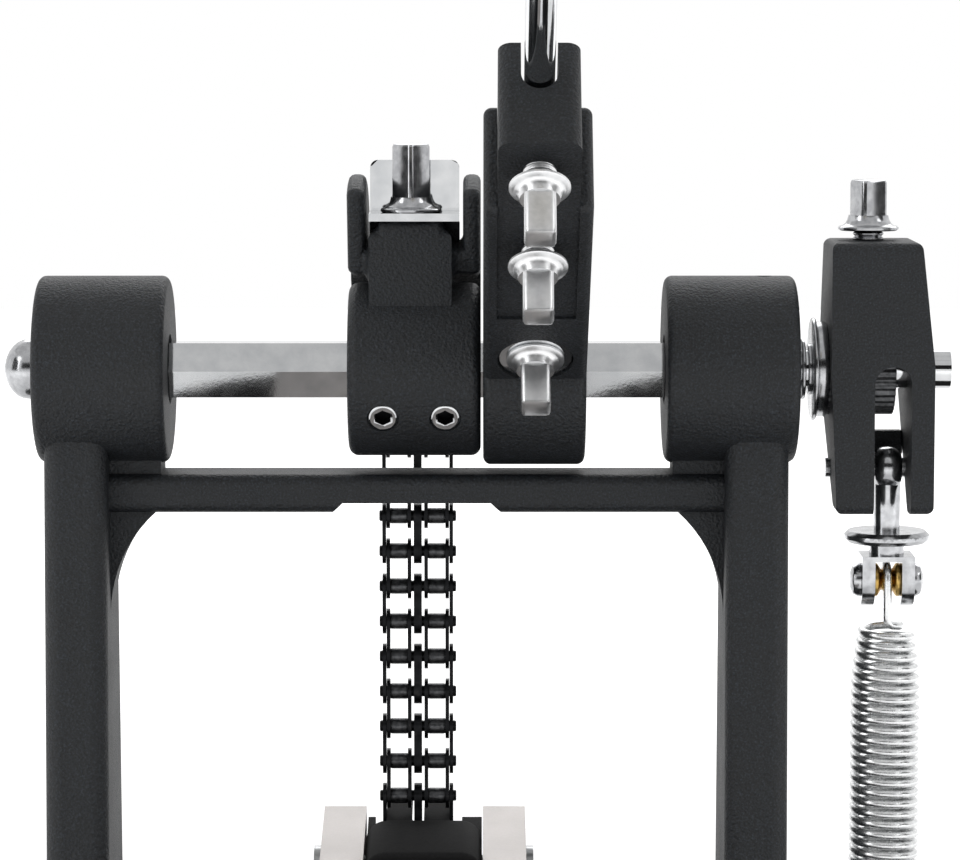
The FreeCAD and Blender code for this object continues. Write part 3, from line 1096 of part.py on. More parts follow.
def heel_plate():
    front = "heel_pin_y - barrel_radius - seat_gap * 4"
    low = FLOOR_TOP
    web_top = "heel_pin_height - barrel_radius - seat_gap * 4"
    rest = extruded("heel_rest_blank", "x", [
        ("heel_end", low), ("heel_start", low), ("heel_start", web_top), (front, web_top),
        (front, "heel_pin_height + barrel_radius - edge_round"), ("heel_end", f"{low} + heel_thick * 1.6")],
        "board_x - heel_half", "board_x + heel_half")
    rest = rounded("heel_rest", rest, "heel_round",
                   lambda edge: straight(edge, "z") and edge.CenterOfMass.y < number("heel_end + overrun"))
    solids = [rest]
    for hand, sign in HANDS.items():
        x = span("barrel_half + seat_gap", "heel_ear_end", sign)
        across = (f"board_x + {x[0]}", f"board_x + {x[1]}")
        solids.append(rod(f"heel_ear_{hand}", "barrel_radius", "heel_ear_end - barrel_half - seat_gap",
                          (across[0], "heel_pin_y", "heel_pin_height"), "x"))
        solids.append(block(f"heel_ear_web_{hand}", across,
                            ("heel_pin_y - barrel_radius - seat_gap * 5", "heel_pin_y + barrel_radius"),
                            (low, "heel_pin_height")))
    tools = [rod("heel_pin_hole", "heel_pin_radius + running_gap", "2 * heel_pin_half + 2 * overrun",
                 ("board_x - heel_pin_half - overrun", "heel_pin_y", "heel_pin_height"), "x")]
    for index, (x, y) in enumerate(HEEL_SCREWS):
        tools.append(rod(f"heel_thread_{index}", "screw_radius + running_gap", "screw_length + running_gap",
                         (x, y, "mat_thick")))
    node("heel_plate", cut("heel_casting", join("heel_solid", *solids), *tools))
    node("heel_pin", rod("heel_pin_steel", "heel_pin_radius", "2 * heel_pin_half",
                         ("board_x - heel_pin_half", "heel_pin_y", "heel_pin_height"), "x"))


# Hoop clamp at the drum's side

def hoop_clamp():
    ears = []
    for hand, sign in HANDS.items():
        x = span("clamp_barrel_half + seat_gap", "clamp_barrel_half + seat_gap + clamp_ear", sign)
        ears.append(rod(f"clamp_ear_{hand}", "clamp_barrel", "clamp_ear",
                        (x[0], "clamp_pin_y", "clamp_pin_height"), "x"))
        ears.append(block(f"clamp_ear_web_{hand}", x,
                          ("clamp_pin_y - clamp_barrel", "clamp_pin_y + clamp_barrel"),
                          (FLOOR_TOP, "clamp_pin_height")))
    wide = "clamp_barrel_half + seat_gap + clamp_ear"
    ears.append(block("clamp_foot", (f"-({wide})", wide),
                      ("clamp_pin_y - 2 * clamp_barrel", "clamp_pin_y + clamp_barrel"),
                      (FLOOR_TOP, FLOOR_TOP + " + soft_round")))
    hole = rod("clamp_ear_hole", "clamp_pin_radius + running_gap", f"2 * ({wide}) + 2 * overrun",
               (f"-({wide}) - overrun", "clamp_pin_y", "clamp_pin_height"), "x")
    node("clamp_base", cut("clamp_base_cut", join("clamp_base_solid", *ears), hole))
    node("clamp_pin", rod("clamp_pin_steel", "clamp_pin_radius", f"2 * ({wide})",
                          (f"-({wide})", "clamp_pin_y", "clamp_pin_height"), "x"))
    height = ("jaw_low", "jaw_low + jaw_thick")
    solids = [rod("jaw_barrel", "clamp_barrel", "2 * clamp_barrel_half",
                  ("-clamp_barrel_half", "clamp_pin_y", "clamp_pin_height"), "x"),
              block("jaw_neck", ("-clamp_barrel_half", "clamp_barrel_half"),
                    ("clamp_pin_y", "jaw_start + overrun"), ("clamp_pin_height", "jaw_low + jaw_thick"))]
    plate = extruded("jaw_plate", "z", [
        ("-jaw_half", "jaw_start"), ("jaw_tab_end", "jaw_start"), ("jaw_tab_end", "2 * wing_y - jaw_start"),
        ("jaw_half", "2 * wing_y - jaw_start"), ("jaw_half", "jaw_end"), ("-jaw_half", "jaw_end")], *height)
    solids.append(rounded("jaw_plate_rounded", plate, "edge_round", lambda edge: straight(edge, "z")))
    holes = [rod("jaw_pin_hole", "clamp_pin_radius + running_gap", "2 * clamp_barrel_half + 2 * overrun",
                 ("-clamp_barrel_half - overrun", "clamp_pin_y", "clamp_pin_height"), "x"),
             rod("jaw_wing_hole", "wing_hole", "jaw_thick + 2 * overrun",
                 ("wing_x", "wing_y", "jaw_low - overrun"))]
    node("clamp_jaw", cut("jaw_cut", join("jaw_solid", *solids), *holes))
    pad_x = ("soft_round - jaw_half", "jaw_half - soft_round")
    node("jaw_pad", block("jaw_pad_rubber", pad_x, ("jaw_pad_start", "jaw_end - edge_round / 2"),
                          ("jaw_low - jaw_pad_thick", "jaw_low")))
    node("lip_pad", block("lip_pad_rubber", pad_x, ("jaw_pad_start", "plate_lip_end - edge_round / 2"),
                          (FLOOR_TOP, FLOOR_TOP + " + edge_round")))


def wing_bolt():
    seat = "jaw_low + jaw_thick + wing_lift"
    edge = "edge_round / 2"
    stem = turned("wing_stem", [
        ("0", "plate_thick / 4"), (f"wing_radius - {edge}", "plate_thick / 4"),
        ("wing_radius", f"plate_thick / 4 + {edge}"),
        ("wing_radius", seat), ("wing_flange", seat), ("wing_flange", f"{seat} + edge_round"),
        ("wing_radius * 1.4", f"{seat} + edge_round * 2"), ("wing_radius * 1.2", f"{seat} + wing_stem"),
        ("0", f"{seat} + wing_stem")], ("wing_x", "wing_y", "0"))
    wing = block("wing_blank", ("wing_x - wing_span", "wing_x + wing_span"),
                 ("wing_y - wing_thick / 2", "wing_y + wing_thick / 2"),
                 (f"{seat} + edge_round * 2", f"{seat} + edge_round * 2 + wing_height"))
    wing = rounded("wing_rounded", wing, "wing_height * 0.4", lambda edge: straight(edge, "y"))
    node("clamp_wing_bolt", join("wing_bolt_steel", stem, wing))


def build():
    floor_sheets()
    floor_screws()
    spur_screws()
    cast_frame()
    axle_set()
    chain_cam()
    chain_plate()
    beater_hub()
    beater_block()
    hub_bolts()
    beater_head()
    spring_rocker()
    hook_and_swivel()
    tension_set()
    coil_spring()
    roller_chain()
    footboard()
    toe_block()
    heel_plate()
    hoop_clamp()
    wing_bolt()


def write_parts():
    """Stops on a failed feature or a bad shape, and otherwise writes one file per sub-part."""
    doc.recompute()
    failed = [item.Label for item in doc.Objects if {"Invalid", "Error"} & set(item.State)]
    failed += [item.Label for item in finished if item.Shape.isNull() or not item.Shape.isValid()]
    if failed:
        raise SystemExit("failed: " + ", ".join(failed))
    os.makedirs("parts", exist_ok=True)
    for item in finished:
        item.Shape.exportStep(f"parts/{item.Label}.step")
        print(item.Label, len(item.Shape.Solids), "solids", round(item.Shape.Volume), "mm3")


build()
write_parts()
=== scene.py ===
# %% [markdown]
# # A bass drum pedal with a double roller chain
# The pedal is seen from the drummer's stool: a black cast frame carries a chrome hexagonal axle with a
# chain wheel, a leaning beater clamp and, outside the right post, a rocker that pulls a coil spring.
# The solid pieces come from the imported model, which sets every size and place. This lesson lights them,
# gives each one its real finish and adds the fine forms that a camera sees from a step away.

# %% Load the frame
import json
import math

import bmesh
import bpy
from mathutils import Matrix, Vector


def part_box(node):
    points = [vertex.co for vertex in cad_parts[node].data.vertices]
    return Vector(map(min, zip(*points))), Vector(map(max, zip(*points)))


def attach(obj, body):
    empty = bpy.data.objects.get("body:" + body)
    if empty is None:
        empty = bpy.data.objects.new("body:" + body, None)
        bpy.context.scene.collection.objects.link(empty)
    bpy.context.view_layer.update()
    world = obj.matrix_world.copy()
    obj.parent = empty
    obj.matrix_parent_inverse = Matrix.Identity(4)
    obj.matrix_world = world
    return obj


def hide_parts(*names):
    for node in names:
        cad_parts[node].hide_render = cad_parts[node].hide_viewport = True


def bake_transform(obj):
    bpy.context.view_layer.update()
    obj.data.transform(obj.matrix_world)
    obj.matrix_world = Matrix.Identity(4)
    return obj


MM = 0.001

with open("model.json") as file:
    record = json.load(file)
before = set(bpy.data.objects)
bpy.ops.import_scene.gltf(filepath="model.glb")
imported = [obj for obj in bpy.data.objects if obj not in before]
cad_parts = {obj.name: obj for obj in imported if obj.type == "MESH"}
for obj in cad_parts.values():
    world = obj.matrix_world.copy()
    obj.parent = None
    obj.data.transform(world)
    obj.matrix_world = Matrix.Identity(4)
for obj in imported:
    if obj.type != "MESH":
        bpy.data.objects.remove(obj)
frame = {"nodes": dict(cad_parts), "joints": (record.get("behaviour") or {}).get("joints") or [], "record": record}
scene = bpy.context.scene
nodes = frame["nodes"]
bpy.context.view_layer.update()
joints = {joint["name"]: joint for joint in frame["joints"]}
AXLE = Vector(joints["pedal_stroke"]["pos_m"])
print("pieces from the frame:", len(nodes), "axle at", [round(value, 4) for value in AXLE])

# %% [markdown]
# ## The camera
# The photograph is a long-lens close view of the upper half of the pedal. A camera could be placed by
# eye, but two measures fix it: the ratio between near and far pieces gives the distance, and one known
# width gives the focal length. The camera stands straight in front, a little above the axle.

# %% Camera
PHOTO_WIDTH_PX = 960
FOCAL_PX = 3822
SENSOR_MM = 36
CAMERA_DISTANCE = 985 * MM
CAMERA_ELEVATION = math.radians(6.0)
AIM = AXLE + Vector((16.2 * MM, 0, -15.8 * MM))

camera = bpy.data.objects.new("camera", bpy.data.cameras.new("camera"))
scene.collection.objects.link(camera)
camera.data.sensor_width = SENSOR_MM
camera.data.lens = SENSOR_MM * FOCAL_PX / PHOTO_WIDTH_PX
camera.data.clip_start = 10 * MM
back = Vector((0, -math.cos(CAMERA_ELEVATION), math.sin(CAMERA_ELEVATION)))
camera.location = AIM + back * CAMERA_DISTANCE
camera.rotation_euler = (math.radians(90) - CAMERA_ELEVATION, 0, 0)
bpy.context.scene.camera = camera
print("camera lens", round(camera.data.lens, 1), "mm")

# %% [markdown]
# ## Colours and nodes
# Finishes are written as the hex values that a painter would read from a chart. Shaders want linear
# light, so one function converts them. A second small function adds a node with its settings, its colour
# stops and its links, which keeps each material readable as a short list of what feeds what. Pattern
# scales are written as the real width of one grain in millimetres.

# %% Helpers for materials
def linear(hex_code):
    """An sRGB hex colour as the linear RGBA that a shader socket takes."""
    channels = [int(hex_code[place:place + 2], 16) / 255 for place in (1, 3, 5)]
    return tuple(c / 12.92 if c <= 0.04045 else ((c + 0.055) / 1.055) ** 2.4 for c in channels) + (1.0,)


def per_grain(width_mm):
    """The texture scale that makes one grain this wide, for coordinates in metres."""
    return 1 / (width_mm * MM)


def add(tree, kind, inputs=None, stops=(), **settings):
    """Adds a node, sets it up and fills its inputs. An input that is a node or socket is linked."""
    node = tree.nodes.new(kind)
    for name, value in settings.items():
        setattr(node, name, value)
    for name, value in (inputs or {}).items():
        if isinstance(value, bpy.types.Node):
            value = value.outputs[0]
        if isinstance(value, bpy.types.NodeSocket):
            tree.links.new(value, node.inputs[name])
        else:
            node.inputs[name].default_value = value
    if stops:
        elements = node.color_ramp.elements
        while len(elements) < len(stops):
            elements.new(0.5)
        for element, (position, hex_code) in zip(elements, stops):
            element.position = position
            element.color = linear(hex_code)
    return node


def new_material(name):
    """An empty node material, its tree, and the Object coordinates that its patterns lie on."""
    material = bpy.data.materials.new(name)
    material.use_nodes = True
    tree = material.node_tree
    tree.nodes.clear()
    return material, tree, add(tree, "ShaderNodeTexCoord").outputs["Object"]


def closed_material(material, inputs):
    """Ends a material with the principled shader that takes these inputs."""
    shader = add(material.node_tree, "ShaderNodeBsdfPrincipled", inputs)
    add(material.node_tree, "ShaderNodeOutputMaterial", {"Surface": shader})
    return material


print("a half grey in linear light:", round(linear("#808080")[0], 3))

# %% [markdown]
# ## Studio
# A catalogue picture like this is taken on a white sweep under a large overhead softbox, while the room
# behind the camera stays dark. That dark room is what draws black bands in the chrome, so it is modelled
# as a dark wall that only reflections see. White comes from the world's colour for camera and mirror
# rays, not from stronger lamps, so black paint stays black. The floor is pale, glows a little for the
# camera and keeps the shadow.

# %% World
LIGHTING_LEVEL = 0.31
scene.view_settings.view_transform = "Standard"


def seen_directly(tree):
    """1 for camera, mirror and glass rays, 0 for the rays that light the object."""
    path = add(tree, "ShaderNodeLightPath").outputs
    either = add(tree, "ShaderNodeMath", {0: path["Is Camera Ray"], 1: path["Is Glossy Ray"]},
                 operation="MAXIMUM")
    return add(tree, "ShaderNodeMath", {0: either, 1: path["Is Transmission Ray"]}, operation="MAXIMUM")


world = bpy.data.worlds.new("white_sweep")
scene.world = world
world.use_nodes = True
sky = world.node_tree
sky.nodes.clear()
level = add(sky, "ShaderNodeMapRange", {"Value": seen_directly(sky), "To Min": LIGHTING_LEVEL, "To Max": 1.0})
glow = add(sky, "ShaderNodeBackground", {"Color": linear("#FFFFFF"), "Strength": level})
add(sky, "ShaderNodeOutputWorld", {"Surface": glow})
print("the world looks white and lights the pedal at", LIGHTING_LEVEL)

# %% Floor
FLOOR_HALF = 3.0
NEAR_GLOW, FAR_GLOW = 0.34, 0.85
GLOW_START, GLOW_END = 0.35, 0.9
UNTURNED = Matrix.Identity(3)


def white_sweep_paper():
    """Matt white background paper: it takes the shadow and looks white from the camera."""
    material, tree, place = new_material("white_sweep_paper")
    grain = add(tree, "ShaderNodeTexNoise", {"Vector": place, "Scale": per_grain(2.0)})
    tone = add(tree, "ShaderNodeValToRGB", {"Fac": grain}, [(0.3, "#E9E9E9"), (0.7, "#EEEEEE")])
    away = add(tree, "ShaderNodeVectorMath", {0: place}, operation="LENGTH").outputs["Value"]
    glow = add(tree, "ShaderNodeMapRange", {"Value": away, "From Min": GLOW_START, "From Max": GLOW_END,
                                            "To Min": NEAR_GLOW, "To Max": FAR_GLOW})
    shown = add(tree, "ShaderNodeMath", {0: glow, 1: seen_directly(tree)}, operation="MULTIPLY")
    return closed_material(material, {"Base Color": tone, "Roughness": 0.9, "Emission Strength": shown,
                                      "Emission Color": linear("#FFFFFF")})


def mesh_object(name, bm, material):
    """Turns a bmesh into an object at the origin and links it into the scene."""
    mesh = bpy.data.meshes.new(name)
    bm.to_mesh(mesh)
    bm.free()
    mesh.materials.append(material)
    piece = bpy.data.objects.new(name, mesh)
    scene.collection.objects.link(piece)
    return piece


def flat_card(name, material, half_width, half_height, turn, centre):
    """A flat sheet of this half width and half height, turned and then put in its place."""
    bm = bmesh.new()
    bmesh.ops.create_grid(bm, x_segments=1, y_segments=1, size=1)
    bmesh.ops.scale(bm, vec=(half_width, half_height, 1), verts=bm.verts)
    bmesh.ops.rotate(bm, cent=(0, 0, 0), matrix=turn, verts=bm.verts)
    bmesh.ops.translate(bm, vec=centre, verts=bm.verts)
    return mesh_object(name, bm, material)


floor = flat_card("floor", white_sweep_paper(), FLOOR_HALF, FLOOR_HALF, UNTURNED, (0, 0, 0))
print("floor", 2 * FLOOR_HALF, "m wide")

# %% Materials of the dark wall and the scrim
SCRIM_DIM, SCRIM_BRIGHT = 0.46, 0.84


def black_flock():
    """Black flock on a wall, which returns almost no light."""
    material, tree, place = new_material("black_flock_wall")
    weave = add(tree, "ShaderNodeTexNoise", {"Vector": place, "Scale": per_grain(30.0)})
    tone = add(tree, "ShaderNodeValToRGB", {"Fac": weave}, [(0.3, "#060606"), (0.7, "#0C0C0C")])
    return closed_material(material, {"Base Color": tone, "Roughness": 1.0})


def lit_scrim():
    """Grey silk in front of the overhead lamp: what polished metal shows of the ceiling."""
    material, tree, place = new_material("lit_scrim_silk")
    fold = add(tree, "ShaderNodeTexNoise", {"Vector": place, "Scale": per_grain(350.0)})
    shine = add(tree, "ShaderNodeMapRange", {"Value": fold, "To Min": SCRIM_DIM, "To Max": SCRIM_BRIGHT})
    return closed_material(material, {"Base Color": linear("#000000"), "Roughness": 1.0,
                                      "Specular IOR Level": 0.0, "Emission Color": linear("#FFFFFF"),
                                      "Emission Strength": shine})


FLOCK = black_flock()
print("cards are covered with", FLOCK.name)

# %% Dark wall, scrim and flags
WALL_DISTANCE = 1.5
WALL_HALF_WIDTH = 1.1
WALL_LOW, WALL_HIGH = 0.36, 1.05
SCRIM_HALF = 1.5
SCRIM_HEIGHT = 1.3
SCRIM_FORWARD = 0.55
# Black flags: one to each side, which rims the chrome, and two round discs on the floor before the axle,
# which paint a dark reflection in its lower faces; each disc with its middle and its radius
FLAG_SIDE = 0.8
FLAG_HALF = 0.26
FLAG_HEIGHT = 0.42
FLOOR_DARK_REFLECTIONS = [((-0.036, 0.017, 0.0015), 0.12), ((0.1, 0.0, 0.0015), 0.105)]
ABOUT_X = Matrix.Rotation(math.radians(90), 3, "X")
ABOUT_Y = Matrix.Rotation(math.radians(90), 3, "Y")
room = flat_card("dark_room", FLOCK, WALL_HALF_WIDTH, (WALL_HIGH - WALL_LOW) / 2, ABOUT_X,
                 (0, -WALL_DISTANCE, (WALL_HIGH + WALL_LOW) / 2))
scrim = flat_card("scrim", lit_scrim(), SCRIM_HALF, SCRIM_HALF, UNTURNED, (0, -SCRIM_FORWARD, SCRIM_HEIGHT))
flags = [flat_card("side_flag", FLOCK, FLAG_HALF, FLAG_HALF, ABOUT_Y, (side, -FLAG_HALF, FLAG_HEIGHT))
         for side in (-FLAG_SIDE, FLAG_SIDE)]
# The round discs on the floor are painted dark reflections: only the chrome shows them.
for centre, radius in FLOOR_DARK_REFLECTIONS:
    bm = bmesh.new()
    bmesh.ops.create_circle(bm, cap_ends=True, segments=64, radius=radius)
    bmesh.ops.translate(bm, vec=centre, verts=bm.verts)
    flags.append(mesh_object("floor_dark_reflection", bm, FLOCK))
for card in (room, scrim, *flags):
    card.visible_camera = False
    card.visible_diffuse = False
    card.visible_shadow = False
print("cards that only reflections see:", [card.name for card in (room, scrim, *flags)])

# %% Lamps
# Each lamp: where it stands, its width and height in metres and its power in watts
SOFTBOXES = {
    "overhead": ((-0.1, -0.4, 1.6), (2.4, 2.0), 16.0),
    "left_strip": ((-1.25, -0.75, 0.75), (0.45, 1.3), 5.0),
    "right_strip": ((1.3, -0.6, 0.65), (0.45, 1.2), 4.0),
    "back": ((0.2, 1.3, 1.1), (1.4, 0.6), 6.0),
}
for name, (place, size, power) in SOFTBOXES.items():
    lamp = bpy.data.lights.new(name, "AREA")
    lamp.shape = "RECTANGLE"
    lamp.size, lamp.size_y = size
    lamp.energy = power
    softbox = bpy.data.objects.new(name, lamp)
    scene.collection.objects.link(softbox)
    softbox.location = place
    softbox.rotation_euler = (AXLE - Vector(place)).to_track_quat("-Z", "Y").to_euler()
print("lamps:", list(SOFTBOXES))

# %% [markdown]
# ## Black powder coat
# The castings are aluminium with a textured black powder coat: grains of paint that melt into an even
# skin of small bumps. A flat black would look like plastic, so the coat is built from a bump of two grain
# sizes and a few pale flecks painted into its colour, as glints where a grain would catch the light.

# %% Material: powder coat
def textured_powder_coat():
    """Sintered polyester paint, about 0.1 mm of relief in grains under a millimetre wide."""
    material, tree, place = new_material("textured_powder_coat")
    grit = add(tree, "ShaderNodeTexNoise", {"Vector": place, "Scale": per_grain(0.5), "Detail": 4.0})
    skin = add(tree, "ShaderNodeTexVoronoi", {"Vector": place, "Scale": per_grain(0.8)}, feature="SMOOTH_F1")
    cloud = add(tree, "ShaderNodeTexNoise", {"Vector": place, "Scale": per_grain(14.0), "Detail": 2.0})
    # The ramp's dark stops are the coat's own grain; its pale top stops are painted glints on the grains.
    coat = add(tree, "ShaderNodeValToRGB", {"Fac": grit}, [(0.36, "#05070A"), (0.5, "#0F1317"),
                                                           (0.62, "#1D2228"), (0.74, "#30363D")])
    tint = add(tree, "ShaderNodeMix", {"Factor": 0.35, "A": coat, "B": cloud}, data_type="RGBA",
               blend_type="SOFT_LIGHT").outputs["Result"]
    dull = add(tree, "ShaderNodeMapRange", {"Value": cloud, "To Min": 0.5, "To Max": 0.64})
    height = add(tree, "ShaderNodeMath", {0: grit, 1: skin}, operation="ADD")
    bump = add(tree, "ShaderNodeBump", {"Height": height, "Strength": 0.9, "Distance": 0.28 * MM})
    return closed_material(material, {"Base Color": tint, "Roughness": dull, "Normal": bump})


POWDER_COAT = textured_powder_coat()
print("casting finish:", POWDER_COAT.name)

# %% [markdown]
# ## Bright chrome
# The axle, the bent plate above the wheel and the beater's rod are chromed steel. Chrome is a mirror with a
# slightly blue grey, so nearly all it shows is the studio. Faint polishing marks and fingerprints in the
# roughness keep it from looking like a computer's mirror.

# %% Material: chrome
def decorative_chrome():
    """Polished steel under nickel and chromium, a mirror with faint haze."""
    material, tree, place = new_material("decorative_chrome")
    haze = add(tree, "ShaderNodeTexNoise", {"Vector": place, "Scale": per_grain(6.0), "Detail": 4.0})
    marks = add(tree, "ShaderNodeTexNoise", {"Vector": place, "Scale": per_grain(0.9), "Detail": 2.0})
    tone = add(tree, "ShaderNodeValToRGB", {"Fac": haze}, [(0.3, "#C9CBCD"), (0.7, "#DCDDDE")])
    dull = add(tree, "ShaderNodeMapRange", {"Value": haze, "To Min": 0.03, "To Max": 0.1})
    bump = add(tree, "ShaderNodeBump", {"Height": marks, "Strength": 0.06, "Distance": 0.05 * MM})
    return closed_material(material, {"Base Color": tone, "Metallic": 1.0, "Roughness": dull, "Normal": bump})


CHROME = decorative_chrome()
print("mirror finish:", CHROME.name)

# %% [markdown]
# ## Worked steels
# The bolts, washers, wire, chain and screws are all steel, but each was finished in its own way, and no two
# shine alike. They could share one grey, which would look cast in a toy mould. Here one function lets tone
# and roughness waver together over a grain, and each steel gets its own grain, tones and shine.

# %% Materials: bolts, wire, chain and screws
def clouded_finish(name, grain_mm, detail, stops, metallic, roughness):
    """A finish whose tone and roughness waver together over grains of this width."""
    material, tree, place = new_material(name)
    haze = add(tree, "ShaderNodeTexNoise", {"Vector": place, "Scale": per_grain(grain_mm), "Detail": detail})
    tone = add(tree, "ShaderNodeValToRGB", {"Fac": haze}, stops)
    dull = add(tree, "ShaderNodeMapRange", {"Value": haze, "To Min": roughness[0], "To Max": roughness[1]})
    return closed_material(material, {"Base Color": tone, "Metallic": metallic, "Roughness": dull})


# Barrel-polished nickel on the clamp's bolts: bright, but too soft to mirror
NICKEL = clouded_finish("satin_nickel", 1.5, 4.0, [(0.3, "#E2E3E4"), (0.7, "#F0F0F1")], 1.0, (0.27, 0.38))
# Turned and forged steel, rubbed bright: a grey that shows lamps as white bands
BURNISHED = clouded_finish("burnished_steel", 2.5, 4.0, [(0.3, "#A0A1A4"), (0.7, "#C8C9CB")], 1.0,
                           (0.12, 0.26))
# Cold drawn spring wire with a bright nickel plate, a little softer than chrome
WIRE = clouded_finish("nickel_plated_wire", 1.6, 3.0, [(0.3, "#DADBDC"), (0.7, "#EDEEEE")], 1.0, (0.2, 0.34))
# Chemically blackened chain steel with a film of oil, browner where it rubs
CHAIN_BLACK = clouded_finish("black_oxide_steel", 2.2, 4.0,
                             [(0.3, "#0E0F11"), (0.6, "#1C1D20"), (0.8, "#3A3836")], 0.75, (0.28, 0.5))
# Hardened rollers, rubbed to a dull grey by the wheel
ROLLER_STEEL = clouded_finish("worn_roller_steel", 1.2, 4.0, [(0.3, "#3E3F41"), (0.7, "#6B6C6E")], 0.9,
                              (0.3, 0.46))
# Turned steel screws and nuts with a pale grey passivated zinc skin
ZINC = clouded_finish("zinc_plated_steel", 1.4, 5.0, [(0.3, "#9A9C9E"), (0.7, "#B9BABA")], 1.0, (0.22, 0.4))
STEELS = (NICKEL, BURNISHED, WIRE, CHAIN_BLACK, ROLLER_STEEL, ZINC)
print("steel finishes:", [steel.name for steel in STEELS])

# %% [markdown]
# ## Brass, cast silver and enamel
# Three more finishes are needed below: the swivel's brass bobbin straight from the lathe, the blasted
# aluminium of the footboard, and the smooth enamel of the floor plate. Each gets the mark of its own making,
# which is turning rings, a fine bead grain and orange peel.

# %% Materials: brass, aluminium and enamel
def turned_brass():
    """Free-cutting brass straight from the lathe."""
    material, tree, place = new_material("turned_brass")
    # A wave has 20 radians in each grain, so these rings lie 3.1 mm apart. Real ones are too fine to show.
    rings = add(tree, "ShaderNodeTexWave", {"Vector": place, "Scale": per_grain(10.0), "Distortion": 0.6},
                bands_direction="X").outputs["Fac"]
    tone = add(tree, "ShaderNodeValToRGB", {"Fac": rings}, [(0.2, "#B08A45"), (0.8, "#D2B06A")])
    dull = add(tree, "ShaderNodeMapRange", {"Value": rings, "To Min": 0.2, "To Max": 0.34})
    return closed_material(material, {"Base Color": tone, "Metallic": 1.0, "Roughness": dull})


def bead_blasted_aluminium():
    """Cast aluminium, blasted with fine beads and clear coated: a warm silver with a soft sheen."""
    material, tree, place = new_material("bead_blasted_aluminium")
    beads = add(tree, "ShaderNodeTexNoise", {"Vector": place, "Scale": per_grain(0.6), "Detail": 2.0})
    cloud = add(tree, "ShaderNodeTexNoise", {"Vector": place, "Scale": per_grain(18.0), "Detail": 2.0})
    tone = add(tree, "ShaderNodeValToRGB", {"Fac": cloud}, [(0.3, "#A9A5A3"), (0.7, "#B4B0AE")])
    dull = add(tree, "ShaderNodeMapRange", {"Value": beads, "To Min": 0.4, "To Max": 0.56})
    bump = add(tree, "ShaderNodeBump", {"Height": beads, "Strength": 0.25, "Distance": 0.08 * MM})
    return closed_material(material, {"Base Color": tone, "Metallic": 0.9, "Roughness": dull, "Normal": bump})


def gloss_black_enamel():
    """Sheet steel with smooth black enamel, for the floor plate."""
    material, tree, place = new_material("gloss_black_enamel")
    peel = add(tree, "ShaderNodeTexNoise", {"Vector": place, "Scale": per_grain(3.0), "Detail": 2.0})
    tone = add(tree, "ShaderNodeValToRGB", {"Fac": peel}, [(0.3, "#0F1012"), (0.7, "#17191B")])
    dull = add(tree, "ShaderNodeMapRange", {"Value": peel, "To Min": 0.3, "To Max": 0.42})
    bump = add(tree, "ShaderNodeBump", {"Height": peel, "Strength": 0.2, "Distance": 0.05 * MM})
    return closed_material(material, {"Base Color": tone, "Roughness": dull, "Normal": bump})


BRASS = turned_brass()
ALUMINIUM = bead_blasted_aluminium()
ENAMEL = gloss_black_enamel()
print("other metal finishes:", [metal.name for metal in (BRASS, ALUMINIUM, ENAMEL)])

# %% [markdown]
# ## Rubber, felt and plastic
# These are the soft touch pieces: the mat, the clamp pads and the toe block, the beater's felt and its
# moulded core. They take light without a mirror, so their grain matters more than their gloss.

# %% Materials: soft and moulded
def moulded_rubber():
    """Black nitrile rubber from a sandblasted mould, with a chalky bloom."""
    material, tree, place = new_material("moulded_rubber")
    skin = add(tree, "ShaderNodeTexNoise", {"Vector": place, "Scale": per_grain(0.8), "Detail": 3.0})
    tone = add(tree, "ShaderNodeValToRGB", {"Fac": skin}, [(0.3, "#0A0A0B"), (0.75, "#151516")])
    bump = add(tree, "ShaderNodeBump", {"Height": skin, "Strength": 0.4, "Distance": 0.1 * MM})
    return closed_material(material, {"Base Color": tone, "Roughness": 0.82, "Specular IOR Level": 0.3,
                                      "Normal": bump})


def pressed_wool_felt():
    """Dense white wool felt: short fibres that lie across each other and hold a soft rim of light."""
    material, tree, place = new_material("pressed_wool_felt")
    fibre = add(tree, "ShaderNodeTexNoise", {"Vector": place, "Scale": per_grain(0.7), "Detail": 6.0,
                                             "Distortion": 1.6})
    tuft = add(tree, "ShaderNodeTexNoise", {"Vector": place, "Scale": per_grain(5.0), "Detail": 3.0})
    tone = add(tree, "ShaderNodeValToRGB", {"Fac": fibre}, [(0.3, "#C9C3B6"), (0.55, "#E2DDD2"),
                                                            (0.8, "#F0ECE3")])
    tint = add(tree, "ShaderNodeMix", {"Factor": 0.3, "A": tone, "B": tuft}, data_type="RGBA",
               blend_type="SOFT_LIGHT").outputs["Result"]
    bump = add(tree, "ShaderNodeBump", {"Height": fibre, "Strength": 0.7, "Distance": 0.4 * MM})
    return closed_material(material, {"Base Color": tint, "Roughness": 0.95, "Sheen Weight": 0.35,
                                      "Sheen Roughness": 0.5, "Normal": bump})


RUBBER = moulded_rubber()
FELT = pressed_wool_felt()
# Black glass filled nylon, satin from the mould
NYLON = clouded_finish("moulded_nylon", 0.5, 2.0, [(0.3, "#0B0C0D"), (0.7, "#121315")], 0.0, (0.38, 0.5))
print("soft finishes:", [soft.name for soft in (RUBBER, FELT, NYLON)])

# %% [markdown]
# ## Dressing the solids
# Each solid of the frame keeps its shape and takes the finish of its slot. A few take another one, because
# they are brighter or more worn than the rest of their slot.

